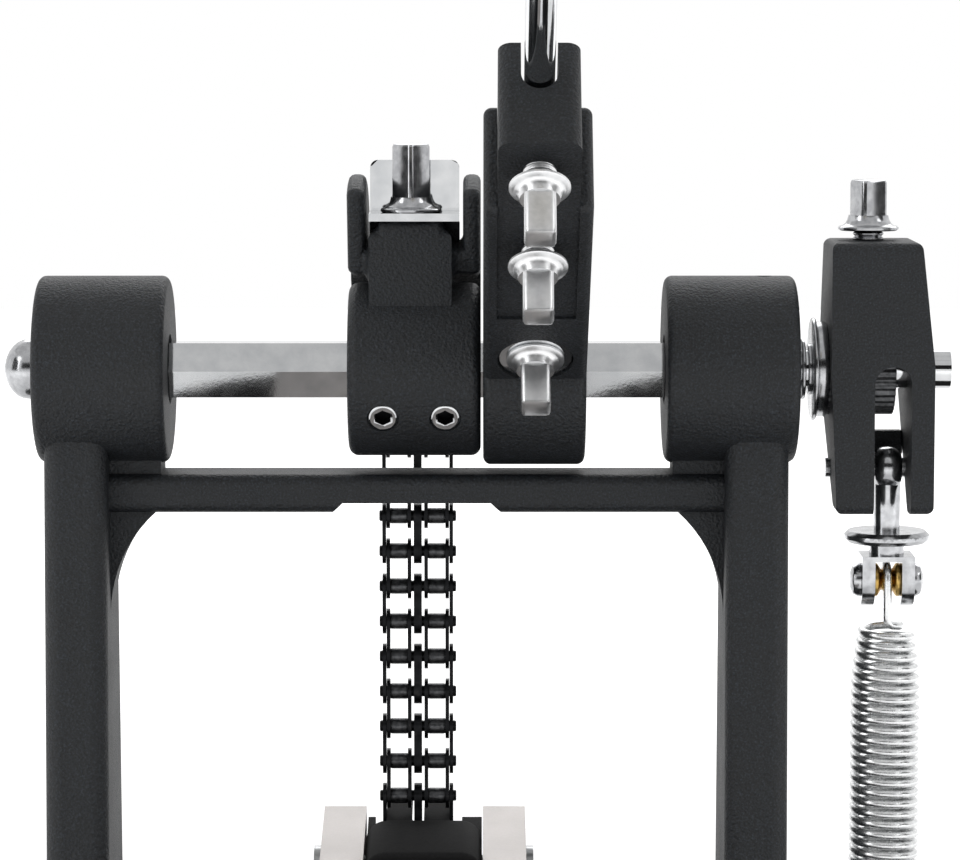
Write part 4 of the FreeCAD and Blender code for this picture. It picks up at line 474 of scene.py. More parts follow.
# %% Finishes by slot
FINISH_OF_SLOT = {
    "black_cast": POWDER_COAT, "chrome_steel": CHROME, "plain_steel": ZINC, "spring_steel": WIRE,
    "black_steel": ENAMEL, "brass": BRASS, "aluminium": ALUMINIUM, "rubber": RUBBER, "felt": FELT,
    "core_plastic": NYLON,
}
FINISH_OF_NODE = {"rocker_bush": ROLLER_STEEL, "rocker_pin": BURNISHED, "swivel_clevis": BURNISHED,
                  "clamp_jaw": BURNISHED, "clamp_wing_bolt": BURNISHED}
slot_of = {row["node"]: row["material_slot"] for row in frame["record"]["subparts"]}
for name, piece in nodes.items():
    finish = FINISH_OF_NODE.get(name, FINISH_OF_SLOT[slot_of[name]])
    if name.startswith("chain_") and slot_of[name] == "black_steel":
        finish = CHAIN_BLACK
    piece.data.materials.clear()
    piece.data.materials.append(finish)
print("dressed", len(nodes), "solids")

# %% [markdown]
# ## Softer edges on the solids
# A cast or plated edge is never knife sharp, and a thin bright line along it is what tells the eye that
# the piece is solid. The frame's meshes are loose triangles, so a Weld modifier joins them first. A narrow
# Bevel modifier then rounds only the edges that really turn a corner. Weighted normals keep the large faces
# flat, which shows at once on chrome.

# %% Edge rounding for the frame's solids
WELD_DISTANCE = 0.002 * MM
CORNER_ANGLE = math.radians(32)
EDGE_OF_SLOT = {"black_cast": 0.7, "aluminium": 0.6, "rubber": 0.4, "core_plastic": 0.4}
EDGE_OF_NODE = {"chain_cam": 0.7, "h_frame": 1.0, "spring_rocker": 1.2, "footboard": 1.0}
PLAIN_EDGE = 0.25
EDGE_SEGMENTS = 2
LARGE_FACES_FIRST = 100


def soften(piece, width_mm):
    """Welds a solid's triangles and rounds its corners by this width."""
    for polygon in piece.data.polygons:
        polygon.use_smooth = True
    weld = piece.modifiers.new("weld", "WELD")
    weld.merge_threshold = WELD_DISTANCE
    edge = piece.modifiers.new("edge", "BEVEL")
    edge.limit_method = "ANGLE"
    edge.angle_limit = CORNER_ANGLE
    edge.width = width_mm * MM
    edge.segments = EDGE_SEGMENTS
    flat = piece.modifiers.new("flat", "WEIGHTED_NORMAL")
    flat.weight = LARGE_FACES_FIRST


for name, piece in nodes.items():
    soften(piece, EDGE_OF_NODE.get(name, EDGE_OF_SLOT.get(slot_of[name], PLAIN_EDGE)))
print("rounded the corners of", len(nodes), "solids")

# %% [markdown]
# ## Small helpers for turned and joined pieces
# Bolts, pins, washers and caps are lathe work, so one helper spins a half section about Z. Others join
# several shapes into one mesh and hand the finished piece to its moving body. Each new piece names the
# solid that it stands for and takes its finish.

# %% Helpers for meshes
MERGE_DISTANCE = 0.0005 * MM
SHARP_ANGLE = math.radians(38)


def lathe(section_mm, steps=40, closed=False):
    """Spins a half section of (radius, height) pairs in millimetres about Z."""
    bm = bmesh.new()
    verts = [bm.verts.new((radius * MM, 0, height * MM)) for radius, height in section_mm]
    ends = verts[1:] + verts[:1] if closed else verts[1:]
    edges = [bm.edges.new(pair) for pair in zip(verts, ends)]
    bmesh.ops.spin(bm, geom=verts + edges, cent=(0, 0, 0), axis=(0, 0, 1), angle=math.tau, steps=steps,
                   use_merge=True)
    bmesh.ops.remove_doubles(bm, verts=bm.verts, dist=MERGE_DISTANCE)
    bmesh.ops.recalc_face_normals(bm, faces=bm.faces)
    return bm


def add_part(whole, part, matrix=Matrix.Identity(4)):
    """Moves one shape into place and adds it to a larger mesh."""
    bmesh.ops.transform(part, matrix=matrix, verts=part.verts)
    carrier = bpy.data.meshes.new("carrier")
    part.to_mesh(carrier)
    part.free()
    whole.from_mesh(carrier)
    bpy.data.meshes.remove(carrier)


def hand_over(name, bm, finish, body, replaced):
    """Shades a finished mesh, lets it ride on its body and hides the solids that it stands for."""
    piece = mesh_object(name, bm, finish)
    for polygon in piece.data.polygons:
        polygon.use_smooth = True
    piece.data.set_sharp_from_angle(angle=SHARP_ANGLE)
    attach(piece, body)
    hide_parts(*replaced)
    print(name, len(piece.data.polygons), "faces")
    return piece


def middle_of(name):
    low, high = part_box(name)
    return (low + high) / 2


ALONG_X = Matrix.Rotation(math.radians(90), 4, "Y")
print("middle of the chain's run:", [round(value, 4) for value in middle_of("chain_run")])

# %% [markdown]
# ## Round ears on the chain wheel
# The wheel's two ears were drawn in sand and are round along their rims, far more than its hub. A modifier
# would round both alike and crease the hub beside its screw holes. So a copy of the solid is cleaned of its
# flat triangles, and only the corners above the hub are bevelled in three steps.

# %% Wheel casting
EAR_FOOT = 22 * MM
EAR_ROUND = 1.7 * MM
FLAT_ANGLE = math.radians(1)
casting = bmesh.new()
casting.from_mesh(nodes["chain_cam"].data)
bmesh.ops.remove_doubles(casting, verts=casting.verts, dist=WELD_DISTANCE)
bmesh.ops.dissolve_limit(casting, angle_limit=FLAT_ANGLE, verts=casting.verts, edges=casting.edges)
rims = [edge for edge in casting.edges if edge.is_manifold and edge.calc_face_angle() > CORNER_ANGLE
        and min(vert.co.z for vert in edge.verts) > AXLE.z + EAR_FOOT]
bmesh.ops.bevel(casting, geom=rims, offset=EAR_ROUND, segments=3, profile=0.5, affect="EDGES", material=-1)
wheel = hand_over("wheel_casting", casting, POWDER_COAT, "axle", ["chain_cam"])
soften(wheel, EDGE_OF_NODE["chain_cam"])

# %% [markdown]
# ## Drum key bolts
# The clamp's bolts are turned with a thin flange that flares into a square head, so that a drum key can
# turn them. A screw from a library would have the wrong head. Here the stalk, with its thread and flared
# flange, is one lathe section, and the head is a cube whose upright corners and top are bevelled.

# %% Key bolt
THREAD_PITCH = 1.25
THREAD_CREST, THREAD_ROOT = 3.95, 3.4
# Shares of the pitch at which a thread's crest begins and ends
CREST_BEGIN, CREST_END = 0.45, 0.6
FLANGE_SECTION = [(7.35, 0), (7.75, 0.3), (7.75, 0.8), (7.45, 1.1), (6.6, 1.3), (5.9, 1.8), (5.4, 2.7),
                  (5.1, 3.9), (0, 3.9)]
HEAD_ACROSS = 7.4
HEAD_CORNER = 1.15
HEAD_CHAMFER = 0.9
AT_TOP = 0.99


def square_head(length):
    """A square bar with blunt corners and a chamfered end, standing on Z."""
    bm = bmesh.new()
    bmesh.ops.create_cube(bm, size=1)
    bmesh.ops.scale(bm, vec=(HEAD_ACROSS * MM, HEAD_ACROSS * MM, length * MM), verts=bm.verts)
    bmesh.ops.translate(bm, vec=(0, 0, length * MM / 2), verts=bm.verts)
    upright = [edge for edge in bm.edges if abs(edge.verts[0].co.z - edge.verts[1].co.z) > length * MM / 2]
    bmesh.ops.bevel(bm, geom=upright, offset=HEAD_CORNER * MM, segments=3, profile=0.5, affect="EDGES",
                    material=-1)
    top = [edge for edge in bm.edges if min(vert.co.z for vert in edge.verts) > length * MM * AT_TOP]
    bmesh.ops.bevel(bm, geom=top, offset=HEAD_CHAMFER * MM, segments=2, profile=0.5, affect="EDGES",
                    material=-1)
    return bm


def key_bolt(shank, head, turn_degrees, flange_share=1.0):
    """A whole bolt along +Z with its flange's under face at zero."""
    turns = int(shank / THREAD_PITCH)
    section = [(0, -shank), (THREAD_ROOT, -shank)]
    for turn in range(turns):
        low = -shank + turn * THREAD_PITCH
        section += [(THREAD_CREST, low + THREAD_PITCH * CREST_BEGIN),
                    (THREAD_CREST, low + THREAD_PITCH * CREST_END), (THREAD_ROOT, low + THREAD_PITCH)]
    flange = [(radius * flange_share, height) for radius, height in FLANGE_SECTION]
    bolt = lathe(section + [(THREAD_ROOT, 0)] + flange)
    add_part(bolt, square_head(head), Matrix.Rotation(math.radians(turn_degrees), 4, "Z"))
    return bolt


print("bolt head", HEAD_ACROSS, "mm across, thread", 2 * THREAD_CREST, "mm")

# %% Bolts of the beater clamp
BEATER_LEAN = math.radians(53)
LEANING = Matrix.Translation(AXLE) @ Matrix.Rotation(BEATER_LEAN, 4, "X")
HUB_X = middle_of("beater_hub").x
# Each bolt of the clamp: height up the arm, distance of its flange from the arm's middle and its shank
HUB_BOLTS_MM = {"low": (28, 14.2, 4.7), "middle": (76, 18.2, 18.1), "high": (109, 18.2, 18.1)}
HEAD_LENGTH = 15
HUB_FLANGE_SHARE = 0.93
OUTWARDS = Matrix.Rotation(math.radians(90), 4, "X")
bolts = bmesh.new()
for height, out, shank in HUB_BOLTS_MM.values():
    spot = Matrix.Translation((HUB_X, -out * MM, height * MM))
    add_part(bolts, key_bolt(shank, HEAD_LENGTH, 0, HUB_FLANGE_SHARE), LEANING @ spot @ OUTWARDS)
hand_over("clamp_key_bolts", bolts, NICKEL, "axle", ["hub_key_bolts"])

# %% Bolts of the wheel and the rocker
CAM_SHANK = 12
CAM_BOLT_TURN = 45
cam_bolt_low, cam_bolt_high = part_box("cam_key_bolt")
cam_head = (cam_bolt_high.z - cam_bolt_low.z) / MM - CAM_SHANK
spot = Vector(((cam_bolt_low.x + cam_bolt_high.x) / 2, (cam_bolt_low.y + cam_bolt_high.y) / 2,
               cam_bolt_low.z + CAM_SHANK * MM))
cam_bolt = bmesh.new()
add_part(cam_bolt, key_bolt(CAM_SHANK, cam_head, CAM_BOLT_TURN), Matrix.Translation(spot))
hand_over("chain_wheel_bolt", cam_bolt, BURNISHED, "axle", ["cam_key_bolt"])

ROCKER_HEAD = 13
ROCKER_BOLT_TURN = 25
rocker_bolt_low, rocker_bolt_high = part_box("rocker_key_bolt")
rocker_shank = (rocker_bolt_high.z - rocker_bolt_low.z) / MM - ROCKER_HEAD
spot = Vector(((rocker_bolt_low.x + rocker_bolt_high.x) / 2, AXLE.y, rocker_bolt_high.z - ROCKER_HEAD * MM))
rocker_bolt = bmesh.new()
add_part(rocker_bolt, key_bolt(rocker_shank, ROCKER_HEAD, ROCKER_BOLT_TURN), Matrix.Translation(spot))
hand_over("rocker_bolt", rocker_bolt, BURNISHED, "axle", ["rocker_key_bolt"])

# %% [markdown]
# ## Socket screws of the chain wheel
# Two socket screws lock the wheel's hub to the axle. Each is a lathe section with a rounded rim. The points
# of its inner ring then move out to a hexagon, which turns a round hole into a key's socket, and the faces
# inside it are painted black as the shade deep in the socket.

# %% Socket screws
SOCKET_FLAT = 2.0
SOCKET_ROUND = 2.2
SOCKET_LIMIT = 2.3
SIXTH = math.radians(60)
SOCKET_SECTION = [(0, -3), (SOCKET_ROUND, -3), (SOCKET_ROUND, -0.3), (3.0, 0), (3.6, -0.15), (4.05, -0.7),
                  (4.05, -6), (0, -6)]
SCREW_RADIUS = 4.0 * MM
SCREW_LIFT = 0.7 * MM
SCREW_DOWN = math.radians(30)
outward = Vector((0, -math.cos(SCREW_DOWN), -math.sin(SCREW_DOWN)))
screw_points = [vert.co - AXLE for vert in nodes["cam_grub_screws"].data.vertices]
screw_out = max(point.dot(outward) for point in screw_points) + SCREW_LIFT
screw_low, screw_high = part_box("cam_grub_screws")
sockets = bmesh.new()
for x in (screw_low.x + SCREW_RADIUS, screw_high.x - SCREW_RADIUS):
    screw = lathe(SOCKET_SECTION, steps=36)
    for vert in screw.verts:
        if 0 < vert.co.xy.length < SOCKET_LIMIT * MM:
            turn = math.atan2(vert.co.y, vert.co.x) % SIXTH - SIXTH / 2
            vert.co.xy *= SOCKET_FLAT / math.cos(turn) / SOCKET_ROUND
    # Faces inside the socket take the second, black finish: painted shade in the hole.
    for face in screw.faces:
        face.material_index = int(face.calc_center_median().xy.length < SOCKET_LIMIT * MM)
    facing = outward.to_track_quat("Z", "X").to_matrix().to_4x4()
    place = Matrix.Translation(Vector((x, AXLE.y, AXLE.z)) + outward * screw_out)
    add_part(sockets, screw, place @ facing)
socket_screws = hand_over("hub_socket_screws", sockets, CHROME, "axle",
                          ["cam_grub_screws"])
# This black finish on the socket's inner faces is painted shade.
socket_screws.data.materials.append(CHAIN_BLACK)

# %% [markdown]
# ## Caps, washers and pins
# The axle ends in a domed cap on the left and in a stack of three washers on the right, before the rocker.
# The swivel's cross pins have round rivet heads. All of these are lathe sections laid along X.

# %% End cap
def along_axle(x):
    return Matrix.Translation((x, AXLE.y, AXLE.z)) @ ALONG_X


cap_low, cap_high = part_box("axle_cap")
CAP_RADIUS = (cap_high.z - cap_low.z) / 2 / MM
CAP_LENGTH = (cap_high.x - cap_low.x) / MM
BORE = 5.1
DOME_STEPS = 7
DOME_SHARE = 0.72
CAP_RIM = 0.4
CAP_DEPTH = 2
dome = [(0, 0)]
for step in range(1, DOME_STEPS + 1):
    angle = math.radians(90) * step / DOME_STEPS
    dome.append((CAP_RADIUS * math.sin(angle), CAP_LENGTH * DOME_SHARE * (1 - math.cos(angle))))
dome += [(CAP_RADIUS, CAP_LENGTH - CAP_RIM), (CAP_RADIUS - CAP_RIM, CAP_LENGTH), (BORE, CAP_LENGTH),
         (BORE, CAP_LENGTH - CAP_DEPTH), (0, CAP_LENGTH - CAP_DEPTH)]
cap = bmesh.new()
add_part(cap, lathe(dome), along_axle(cap_low.x))
hand_over("axle_end_cap", cap, BURNISHED, "axle", ["axle_cap"])

# %% Washers
LIP_SHARE = 0.3
RING_LIP = 0.3


def washer(radius, thick, lip):
    """A flat ring with rounded rims."""
    cut = lip * LIP_SHARE
    return lathe([(BORE, 0), (radius - lip, 0), (radius - cut, cut), (radius, lip), (radius, thick - lip),
                  (radius - cut, thick - cut), (radius - lip, thick), (BORE, thick)], closed=True)


washer_low, washer_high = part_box("thrust_washer")
ring_radius = (washer_high.z - washer_low.z) / 2 / MM
ring_thick = (washer_high.x - washer_low.x) / MM
stack = bmesh.new()
add_part(stack, washer(ring_radius, ring_thick, RING_LIP), along_axle(washer_low.x))
hand_over("thrust_ring", stack, BURNISHED, "axle", ["thrust_washer"])
collar_low, collar_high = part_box("axle_collar")
collar_end = (collar_high.x - collar_low.x) / MM
LIP_RADIUS = (collar_high.z - collar_low.z) / 2 / MM
SPACER_RADIUS, COLLAR_RADIUS = 6.6, 12.3
COLLAR_START = 1.9
# Each ring of the stack: its radius, where it starts along the collar, its thickness and its rounding
RINGS = [(SPACER_RADIUS, 0, 1.1, 0.2), (LIP_RADIUS, 1.0, 1.0, 0.35),
         (COLLAR_RADIUS, COLLAR_START, collar_end - COLLAR_START, 0.8)]
collar = bmesh.new()
for radius, start, thick, lip in RINGS:
    add_part(collar, washer(radius, thick, lip), along_axle(collar_low.x + start * MM))
hand_over("rocker_washers", collar, BURNISHED, "axle", ["axle_collar"])

# %% Rivets
# Down the dome of a rivet's head: shares of its radius and of its rise
RIVET_DOME = [(1, 0.3), (0.86, 0.7), (0.5, 0.94)]


def rivet(half_length, shank, head, seat):
    """A cross pin with a domed head at each end, its middle at zero."""
    rise = half_length - seat
    right = [(shank, 0), (shank, seat), (head, seat)]
    right += [(head * across, seat + rise * up) for across, up in RIVET_DOME] + [(0, half_length)]
    return lathe([(radius, -height) for radius, height in reversed(right)] + right[1:])


EAR_SEAT = 6.8
# Each rivet: the solid it stands for, its body and the radius of its shank
for node_name, body, shank in (("swivel_pin", "hook", 2.2), ("anchor_pin", "base", 2.0)):
    low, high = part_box(node_name)
    pin = bmesh.new()
    add_part(pin, rivet((high.x - low.x) / 2 / MM, shank, (high.z - low.z) / 2 / MM, EAR_SEAT),
             Matrix.Translation((low + high) / 2) @ ALONG_X)
    hand_over(node_name + "_riveted", pin, BURNISHED, body, [node_name])

# %% [markdown]
# ## The forged eye
# The rocker pulls the spring through a forged eye, whose ring and stem are as round as the bar they came
# from. The ring is a lathe section laid along the pin, bulging in the middle, and the stem is another one
# that stands below it.

# %% Eye of the hook
eye_low, eye_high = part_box("eye_hook")
EYE_RADIUS = 5.5
EYE_HALF = (eye_high.x - eye_low.x) / 2 / MM
EYE_HOLE = 2.6
EYE_STEPS = 8
EYE_WALL = 0.6
EYE_FULLNESS = 0.7
HOLE_FLARE = 0.5
STEM_TOP, STEM_LOW = 3.45, 3.25
STEM_BELOW_HOLE = 0.7
eye_z = eye_high.z - EYE_RADIUS * MM
eye_x = (eye_low.x + eye_high.x) / 2
bulge = []
for step in range(EYE_STEPS + 1):
    angle = math.radians(180) * step / EYE_STEPS
    swell = (EYE_RADIUS - EYE_HOLE - EYE_WALL) * math.sin(angle) ** EYE_FULLNESS
    bulge.append((EYE_HOLE + EYE_WALL + swell, -EYE_HALF * math.cos(angle)))
hole = [(EYE_HOLE, EYE_HALF - HOLE_FLARE), (EYE_HOLE, HOLE_FLARE - EYE_HALF)]
ring = lathe(bulge + hole, steps=48, closed=True)
eye = bmesh.new()
add_part(eye, ring, Matrix.Translation((eye_x, AXLE.y, eye_z)) @ ALONG_X)
stem_foot = (eye_low.z - eye_z) / MM
stem_head = -EYE_HOLE - STEM_BELOW_HOLE
stem = lathe([(0, stem_foot), (STEM_LOW, stem_foot), (STEM_TOP, -EYE_RADIUS), (STEM_TOP, stem_head),
              (0, stem_head)])
add_part(eye, stem, Matrix.Translation((eye_x, AXLE.y, eye_z)))
hand_over("forged_eye", eye, BURNISHED, "hook", ["eye_hook"])

# %% [markdown]
# ## The spring
# The spring is one drawn wire: a hook over the lower pin, a coil that swells from its narrow ends, and a
# hook over the brass bobbin. A curve with a bevel could draw it, but a spin of one ring of the wire with a
# rise for each step makes the coil in a single call. Each ring then slides inwards where the coil tapers,
# and shorter spins bend both ends up and over their pins.

# %% Sizes of the coil
WIRE_RADIUS = 1.1 * MM
WIRE_SIDES = 12
COIL_RADIUS = 8.0 * MM
COIL_NECK = 5.9 * MM
COIL_TIP = 3.3 * MM
TAPER_TURNS = 7
DRAW_IN_TURNS = 0.6
COIL_PITCH = 2.7 * MM
STEPS_PER_TURN = 26
TIP_BEND = 2.1 * MM
TIP_STEPS, HOOK_STEPS = 6, 18
ABOVE_COIL = 11.6 * MM
BELOW_COIL = 9.0 * MM
HOOK_ANGLE = math.radians(225)
bobbin = middle_of("swivel_bobbin")
anchor = middle_of("anchor_pin")
coil_low = anchor.z + BELOW_COIL
coil_high = bobbin.z - ABOVE_COIL
# The wire leaves the coil where a short bend brings it to the middle: in front at the top, behind below
top_angle = -math.atan2(COIL_TIP, TIP_BEND)
low_angle = -top_angle
spare = (low_angle - top_angle) / math.tau
coil_turns = round((coil_high - coil_low) / COIL_PITCH - spare) + spare
coil_steps = round(coil_turns * STEPS_PER_TURN)
print("coil from", round(coil_low, 4), "to", round(coil_high, 4), "m in", round(coil_turns, 1), "turns")

# %% Coil spring
def coil_size(turn):
    """The coil's radius after this many turns: narrow necks, and tips that draw in to the middle."""
    from_end = min(turn, coil_turns - turn)
    swell = math.sin(min(1, from_end / TAPER_TURNS) * math.pi / 2)
    size = COIL_NECK + (COIL_RADIUS - COIL_NECK) * swell
    draw_in = max(0, 1 - from_end / DRAW_IN_TURNS)
    return size + (COIL_TIP - size) * draw_in * draw_in * (3 - 2 * draw_in)


def edges_among(bm, verts):
    chosen = set(verts)
    return [edge for edge in bm.edges if all(vert in chosen for vert in edge.verts)]


def only_verts(geom):
    return [item for item in geom if isinstance(item, bmesh.types.BMVert)]


def bend(bm, ring, centre, axis, angle, steps):
    """Spins an open ring on about a new centre and returns the ring where it ends."""
    made = bmesh.ops.spin(bm, geom=ring + edges_among(bm, ring), cent=centre, axis=axis, angle=angle,
                          steps=steps)
    return only_verts(made["geom_last"])


bm = bmesh.new()
first = bmesh.ops.create_circle(bm, segments=WIRE_SIDES, radius=WIRE_RADIUS)["verts"]
bmesh.ops.rotate(bm, cent=(0, 0, 0), matrix=ABOUT_X, verts=first)
bmesh.ops.translate(bm, vec=(COIL_RADIUS, 0, coil_low), verts=first)
bmesh.ops.rotate(bm, cent=(0, 0, 0), matrix=Matrix.Rotation(low_angle, 3, "Z"), verts=first)
rise = Vector((0, 0, (coil_high - coil_low) / coil_steps))
wound = bmesh.ops.spin(bm, geom=first + edges_among(bm, first), cent=(0, 0, 0), axis=(0, 0, -1),
                       angle=math.tau * coil_turns, steps=coil_steps, dvec=rise)
last = only_verts(wound["geom_last"])
for index, vert in enumerate(bm.verts):
    turn = index // WIRE_SIDES / coil_steps * coil_turns
    angle = low_angle - math.tau * turn
    vert.co += Vector((math.cos(angle), math.sin(angle), 0)) * (coil_size(turn) - COIL_RADIUS)
for ring, angle, level, pin, way in ((last, top_angle, coil_high, bobbin, 1),
                                     (first, low_angle, coil_low, anchor, -1)):
    tip = Vector((COIL_TIP * math.cos(angle), COIL_TIP * math.sin(angle), level))
    heading = Vector((math.sin(angle), -math.cos(angle), 0)) * way
    upward = Vector((0, 0, way))
    ring = bend(bm, ring, tip + upward * TIP_BEND, heading.cross(upward), math.radians(90), TIP_STEPS)
    drawn = bmesh.ops.extrude_edge_only(bm, edges=edges_among(bm, ring))
    ring = only_verts(drawn["geom"])
    bmesh.ops.translate(bm, vec=upward * (abs(pin.z - level) - TIP_BEND), verts=ring)
    outward = (tip + heading * TIP_BEND) * Vector((1, 1, 0))
    ring = bend(bm, ring, (0, 0, pin.z), outward.normalized().cross(upward), HOOK_ANGLE, HOOK_STEPS)
    bmesh.ops.edgeloop_fill(bm, edges=edges_among(bm, ring))
bmesh.ops.recalc_face_normals(bm, faces=bm.faces)
bmesh.ops.translate(bm, vec=(bobbin.x, bobbin.y, 0), verts=bm.verts)
spring = mesh_object("wound_spring", bm, WIRE)
for polygon in spring.data.polygons:
    polygon.use_smooth = True
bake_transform(spring)
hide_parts("coil_spring")
print("spring", round(coil_turns, 1), "turns,", len(spring.data.polygons), "faces")

# %% [markdown]
# ## The double roller chain
# A roller chain alternates inner links, two plates that hold two rollers, with outer links, plates on pins
# that pass through both strands. Each plate is a circle whose halves are pulled one pitch apart and whose
# long sides are subdivided and drawn in to a waist. One inner and one outer link are then placed along the
# wheel and down the run, each on the body that its own pin turns.

# %% Chain plates and bars
PITCH = 9.525 * MM
STRAND = 5.065 * MM
PLATE_THICK = 0.95 * MM
PLATE_END = 3.4 * MM
PLATE_SIDES = 20
PLATE_WAIST_SHARE = 0.3
WAIST_CUTS = 3
PIN_SIDES = 14


def waisted_plate(low_x, thick):
    """A chain plate across X whose ends lie round pins half a pitch above and below."""
    bm = bmesh.new()
    bmesh.ops.create_circle(bm, segments=PLATE_SIDES, radius=PLATE_END, cap_ends=True)
    half_side = Matrix.Rotation(math.pi / PLATE_SIDES, 3, "X")
    bmesh.ops.rotate(bm, cent=(0, 0, 0), matrix=ABOUT_Y, verts=bm.verts)
    bmesh.ops.rotate(bm, cent=(0, 0, 0), matrix=half_side, verts=bm.verts)
    for vert in bm.verts:
        vert.co.z += math.copysign(PITCH / 2, vert.co.z)
    sides = [edge for edge in bm.edges if edge.verts[0].co.z * edge.verts[1].co.z < 0]
    bmesh.ops.subdivide_edges(bm, edges=sides, cuts=WAIST_CUTS)
    for vert in bm.verts:
        share = max(0, 1 - abs(vert.co.z) / (PITCH / 2))
        vert.co.y *= 1 - PLATE_WAIST_SHARE * share * share * (3 - 2 * share)
    grown = bmesh.ops.extrude_face_region(bm, geom=bm.faces[:])["geom"]
    bmesh.ops.translate(bm, vec=(thick, 0, 0), verts=only_verts(grown))
    bmesh.ops.translate(bm, vec=(low_x, 0, 0), verts=bm.verts)
    bmesh.ops.recalc_face_normals(bm, faces=bm.faces)
    return bm


def cross_bar(section, z):
    """A turned bar across X through one of the link's two pin places."""
    bar = lathe(section, steps=PIN_SIDES)
    bmesh.ops.transform(bar, matrix=Matrix.Translation((0, 0, z)) @ ALONG_X, verts=bar.verts)
    return bar


print("chain pitch", PITCH / MM, "mm, strands", round(2 * STRAND / MM, 2), "mm apart")

# %% Inner and outer links
ROLLER_RADIUS = 2.15 * MM
ROLLER_HALF = 2.35 * MM
# Shares of a roller's radius at its ends, and of its half length that is straight
ROLLER_END_SHARE, ROLLER_STRAIGHT_SHARE = 0.93, 0.8
PLATE_GAP = 0.15 * MM
PIN_RADIUS = 1.5 * MM
PIN_HALF = 10.3 * MM
PIN_RIM = 0.25
MIDDLE_HALF = 1.05 * MM


def inner_link():
    """Two strands of two plates with a roller at each pin."""
    whole = bmesh.new()
    for strand in (-STRAND, STRAND):
        for low in (strand - ROLLER_HALF - PLATE_THICK, strand + ROLLER_HALF):
            add_part(whole, waisted_plate(low, PLATE_THICK))
        for z in (-PITCH / 2, PITCH / 2):
            middle, half, radius = strand / MM, ROLLER_HALF / MM, ROLLER_RADIUS / MM
            end, straight = radius * ROLLER_END_SHARE, half * ROLLER_STRAIGHT_SHARE
            roller = cross_bar([(0, middle - half), (end, middle - half), (radius, middle - straight),
                                (radius, middle + straight), (end, middle + half), (0, middle + half)], z)
            for face in roller.faces:
                face.material_index = 1
            add_part(whole, roller)
    return whole


def outer_link():
    """Two outer plates and a thick middle one on two long pins."""
    whole = bmesh.new()
    side = STRAND + ROLLER_HALF + PLATE_THICK + PLATE_GAP
    for low, thick in ((-side - PLATE_THICK, PLATE_THICK), (side, PLATE_THICK),
                       (-MIDDLE_HALF, 2 * MIDDLE_HALF)):
        add_part(whole, waisted_plate(low, thick))
    for z in (-PITCH / 2, PITCH / 2):
        half, radius = PIN_HALF / MM, PIN_RADIUS / MM
        end = [(radius, 0), (radius, half - PIN_RIM), (radius - PIN_RIM, half), (0, half)]
        add_part(whole, cross_bar([(r, -x) for r, x in reversed(end)] + end[1:], z))
    return whole


print("pins", 2 * PIN_HALF / MM, "mm long")

# %% Links along the wheel and the run
CHAIN_X = middle_of("chain_run").x
RUN_Y = middle_of("chain_run").y
PINS_FROM_AXLE = 38.0 * MM
BEND_STEP = 2 * math.asin(PITCH / 2 / PINS_FROM_AXLE)
CHAIN_BENDS = 5
RUN_LINKS = 14


def link_at(place):
    """A link on the wheel, counted in bends above the run, or below it, counted down from zero."""
    link = outer_link() if place % 2 else inner_link()
    if place > 0:
        matrix = Matrix.Translation(AXLE) @ Matrix.Rotation(BEND_STEP * place, 4, "X") @ Matrix.Translation(
            (CHAIN_X, RUN_Y, 0))
    else:
        matrix = Matrix.Translation((CHAIN_X, RUN_Y, AXLE.z + PITCH * place))
    return link, matrix


def chain_piece(name, body, node_name, places):
    """Joins the links at these places into one piece, its rollers in worn steel."""
    whole = bmesh.new()
    for place in places:
        add_part(whole, *link_at(place))
    piece = hand_over(name, whole, CHAIN_BLACK, body, [node_name])
    piece.data.materials.append(ROLLER_STEEL)


chain_piece("chain_end_plates", "axle", "chain_end_link", [CHAIN_BENDS])
for joint in range(1, CHAIN_BENDS):
    chain_piece(f"chain_plates_{joint}", f"chain_{joint}", f"chain_link_{joint}", [CHAIN_BENDS - joint])
chain_piece("chain_run_plates", "chain_run", "chain_run", range(0, -RUN_LINKS, -1))

# %% [markdown]
# ## The toe block
# Between the board's horns sits a moulded block that takes the chain's last pin. Its upper corners are
# rounded far more than its other edges, so a cube is bevelled twice: once along the two long corners and
# once, finely, round both ends. Behind it stand low side walls and the two lugs with their roofs.

# %% Sizes of the toe block
HINGE = Vector(joints["footboard_hinge"]["pos_m"])
last_pin = Vector((CHAIN_X, RUN_Y, AXLE.z - PITCH * (RUN_LINKS - 0.5)))
reach = math.hypot(last_pin.y - HINGE.y, last_pin.z - HINGE.z) / MM
board_slope = math.atan2(last_pin.z - HINGE.z, last_pin.y - HINGE.y)
BOARD_X = middle_of("toe_block").x
ON_BOARD = Matrix.Translation((BOARD_X, HINGE.y, HINGE.z)) @ Matrix.Rotation(board_slope, 4, "X")
TOE_HALF = 15.5
TOE_TOP, TOE_SIDE_TOP, TOE_BOTTOM = 6.2, -1.5, -8.0
TOE_FRONT, TOE_WALL, TOE_BACK = reach - 30, reach - 7, reach + 12.5
TOE_CORNER = 5.5
TOE_EDGE = 1.3
POCKET_HALF = 11.8
LUG_INNER, LUG_OUTER = 1.6, 8.5
LUG_TOP = 4.5
SLOT_LOW, SLOT_HIGH = -2.3, 3.4
SLOT_BACK = reach + 8.6
FLOOR_TOP = TOE_BOTTOM + 2
# The shapes behind the block run into it, and a little into each other, so that no two faces lie in one plane
INTO_BLOCK = TOE_EDGE * 1.5
INTO = 0.2
print("board slopes by", round(math.degrees(board_slope), 1), "degrees, last pin", round(reach, 1), "mm out")

# %% Toe block
def slab(x, y, z):
    """A box from three (low, high) pairs in millimetres."""
    bm = bmesh.new()
    bmesh.ops.create_cube(bm, size=1)
    for axis, (low, high) in enumerate((x, y, z)):
        for vert in bm.verts:
            vert.co[axis] = (low if vert.co[axis] < 0 else high) * MM
    return bm


